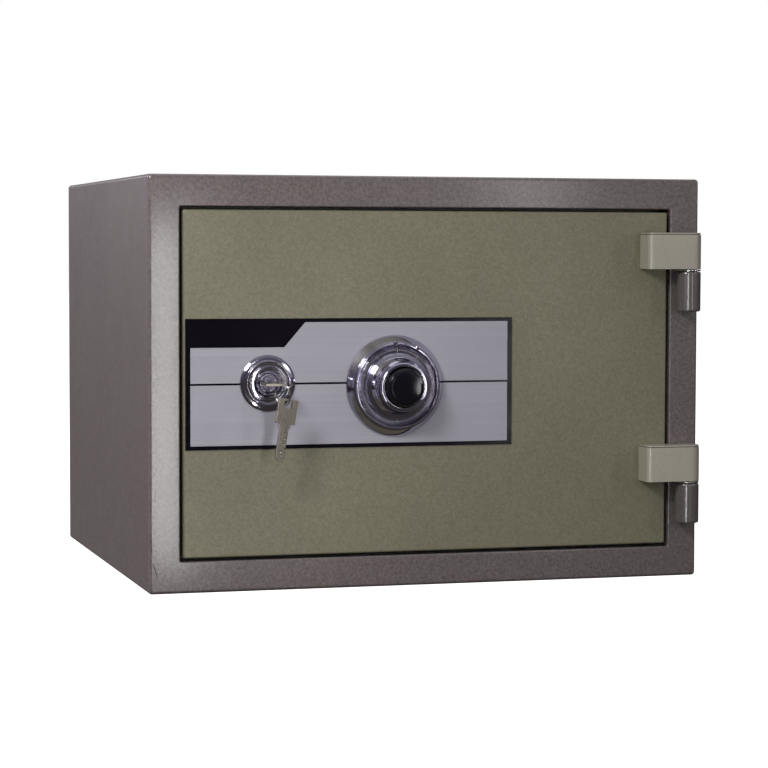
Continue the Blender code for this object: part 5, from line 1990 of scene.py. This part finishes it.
@dataclass
class Studio:
    """The pale floor, the soft lights, the surroundings and the camera. Its sizes are metres."""

    camera_position: Triple = (-0.55303, -1.96959, 0.25584)
    camera_direction: Triple = (0.277383, 0.959184, -0.055005)
    camera_roll: float = 0.00249
    lens: float = 115.51
    floor_half: float = 12.0
    floor_colour: Colour = (0.86, 0.86, 0.86)
    floor_glow: float = 0.93
    room: tuple[tuple[float, Colour], ...] = (
        (0.0, (0.050, 0.044, 0.040)), (0.47, (0.060, 0.052, 0.058)), (0.56, (0.080, 0.070, 0.105)),
        (0.75, (0.20, 0.19, 0.22)), (1.0, (0.34, 0.34, 0.36)))
    lamps: tuple[Lamp, ...] = (
        Lamp("key_light", (-0.72, -0.92, 0.74), (-0.05, -0.1, 0.12), (0.28, 0.28), 7.6),
        Lamp("side_fill", (-2.3, 0.35, 0.55), (-0.2, 0.1, 0.15), (1.2, 1.2), 37.0, only=("casing_shell",),
             mirrored=False),
        Lamp("flange_strip", (-0.0905, -0.79, 0.1125), (-0.0905, 0.0, 0.1125), (0.034, 0.335), 0.78,
             spared=("trim_base",)),
        Lamp("right_window", (1.5, -1.3, 0.75), (0.0, 0.0, 0.15), (0.22, 0.9), 3.2),
        Lamp("near_window", (0.50, -1.38, 0.30), (0.0, -0.19, 0.15), (0.07, 0.6), 0.8),
        Lamp("rear_fill", (-1.3, 1.6, 0.8), (0.0, 0.19, 0.15), (0.5, 0.5), 14.0),
        Lamp("top_light", (0.1, 0.1, 1.9), (0.0, 0.1, 0.2), (1.4, 1.4), 6.0),
    )

    def build(self) -> None:
        """Build all of the studio."""
        self.floor()
        self.surroundings()
        self.camera()
        for lamp in self.lamps:
            lamp.build()
        bpy.context.scene.view_settings.view_transform = "Standard"

    def floor(self) -> None:
        """A plain pale floor, which mirrors and shadows leave alone."""
        bm = bmesh.new()
        bmesh.ops.create_grid(bm, x_segments=1, y_segments=1, size=self.floor_half)
        mesh = bpy.data.meshes.new("floor")
        bm.to_mesh(mesh)
        bm.free()
        floor = new_object("floor", mesh)
        floor.visible_glossy = False
        floor.visible_shadow = False
        floor.visible_diffuse = False
        material = bpy.data.materials.new("pale_floor")
        material.use_nodes = True
        sketch = Sketch(material.node_tree)
        output = material.node_tree.nodes["Material Output"]
        shader = material.node_tree.nodes["Principled BSDF"]
        shader.inputs["Base Color"].default_value = (*self.floor_colour, 1.0)
        shader.inputs["Roughness"].default_value = 0.9
        seen = sketch.add("ShaderNodeLightPath").outputs["Is Camera Ray"]
        glow = sketch.add("ShaderNodeEmission", {"Strength": sketch.math("MULTIPLY", seen, self.floor_glow)})
        both = sketch.add("ShaderNodeAddShader", {0: shader.outputs[0], 1: glow.outputs[0]})
        material.node_tree.links.new(both.outputs[0], output.inputs["Surface"])
        mesh.materials.append(material)

    def surroundings(self) -> None:
        """White behind the box for the camera, and a dim room with a paler ceiling for everything else."""
        world = bpy.data.worlds.new("studio")
        bpy.context.scene.world = world
        world.use_nodes = True
        sketch = Sketch(world.node_tree)
        background = world.node_tree.nodes["Background"]
        direction = sketch.add("ShaderNodeTexCoord").outputs["Generated"]
        height = sketch.add("ShaderNodeSeparateXYZ", {"Vector": direction}).outputs["Z"]
        ramp = sketch.add("ShaderNodeValToRGB", {"Fac": sketch.spread(height, -1.0, 1.0)})
        elements = ramp.color_ramp.elements
        while len(elements) < len(self.room):
            elements.new(0.5)
        for element, (position, colour) in zip(elements, self.room):
            element.position = position
            element.color = (*colour, 1.0)
        seen = sketch.add("ShaderNodeLightPath").outputs["Is Camera Ray"]
        colour = sketch.blend(seen, ramp.outputs["Color"], (1.0, 1.0, 1.0))
        world.node_tree.links.new(colour, background.inputs["Color"])

    def camera(self) -> None:
        """The camera, looking at the front from its left and a little above."""
        data = bpy.data.cameras.new("camera")
        data.lens = self.lens
        data.sensor_width = 36.0
        data.clip_end = 50.0
        camera = bpy.data.objects.new("camera", data)
        bpy.context.scene.collection.objects.link(camera)
        turn = Vector(self.camera_direction).to_track_quat("-Z", "Y").to_matrix().to_4x4()
        camera.matrix_world = (Matrix.Translation(Vector(self.camera_position)) @ turn
                               @ Matrix.Rotation(self.camera_roll, 4, "Z"))
        bpy.context.scene.camera = camera


def main() -> None:
    """Build every sub-assembly and the studio."""
    logging.basicConfig(level=logging.INFO, format="%(name)s %(message)s")
    for assembly in (Casing(), Hinge("lower"), Hinge("upper"), Interior(), DoorShell(), TrimPlate(), KeyLock(),
                     Keys(), CombinationDial(), LockWork(), Studio()):
        LOG.info("building %s", type(assembly).__name__)
        assembly.build()


if __name__ == "__main__":
    main()
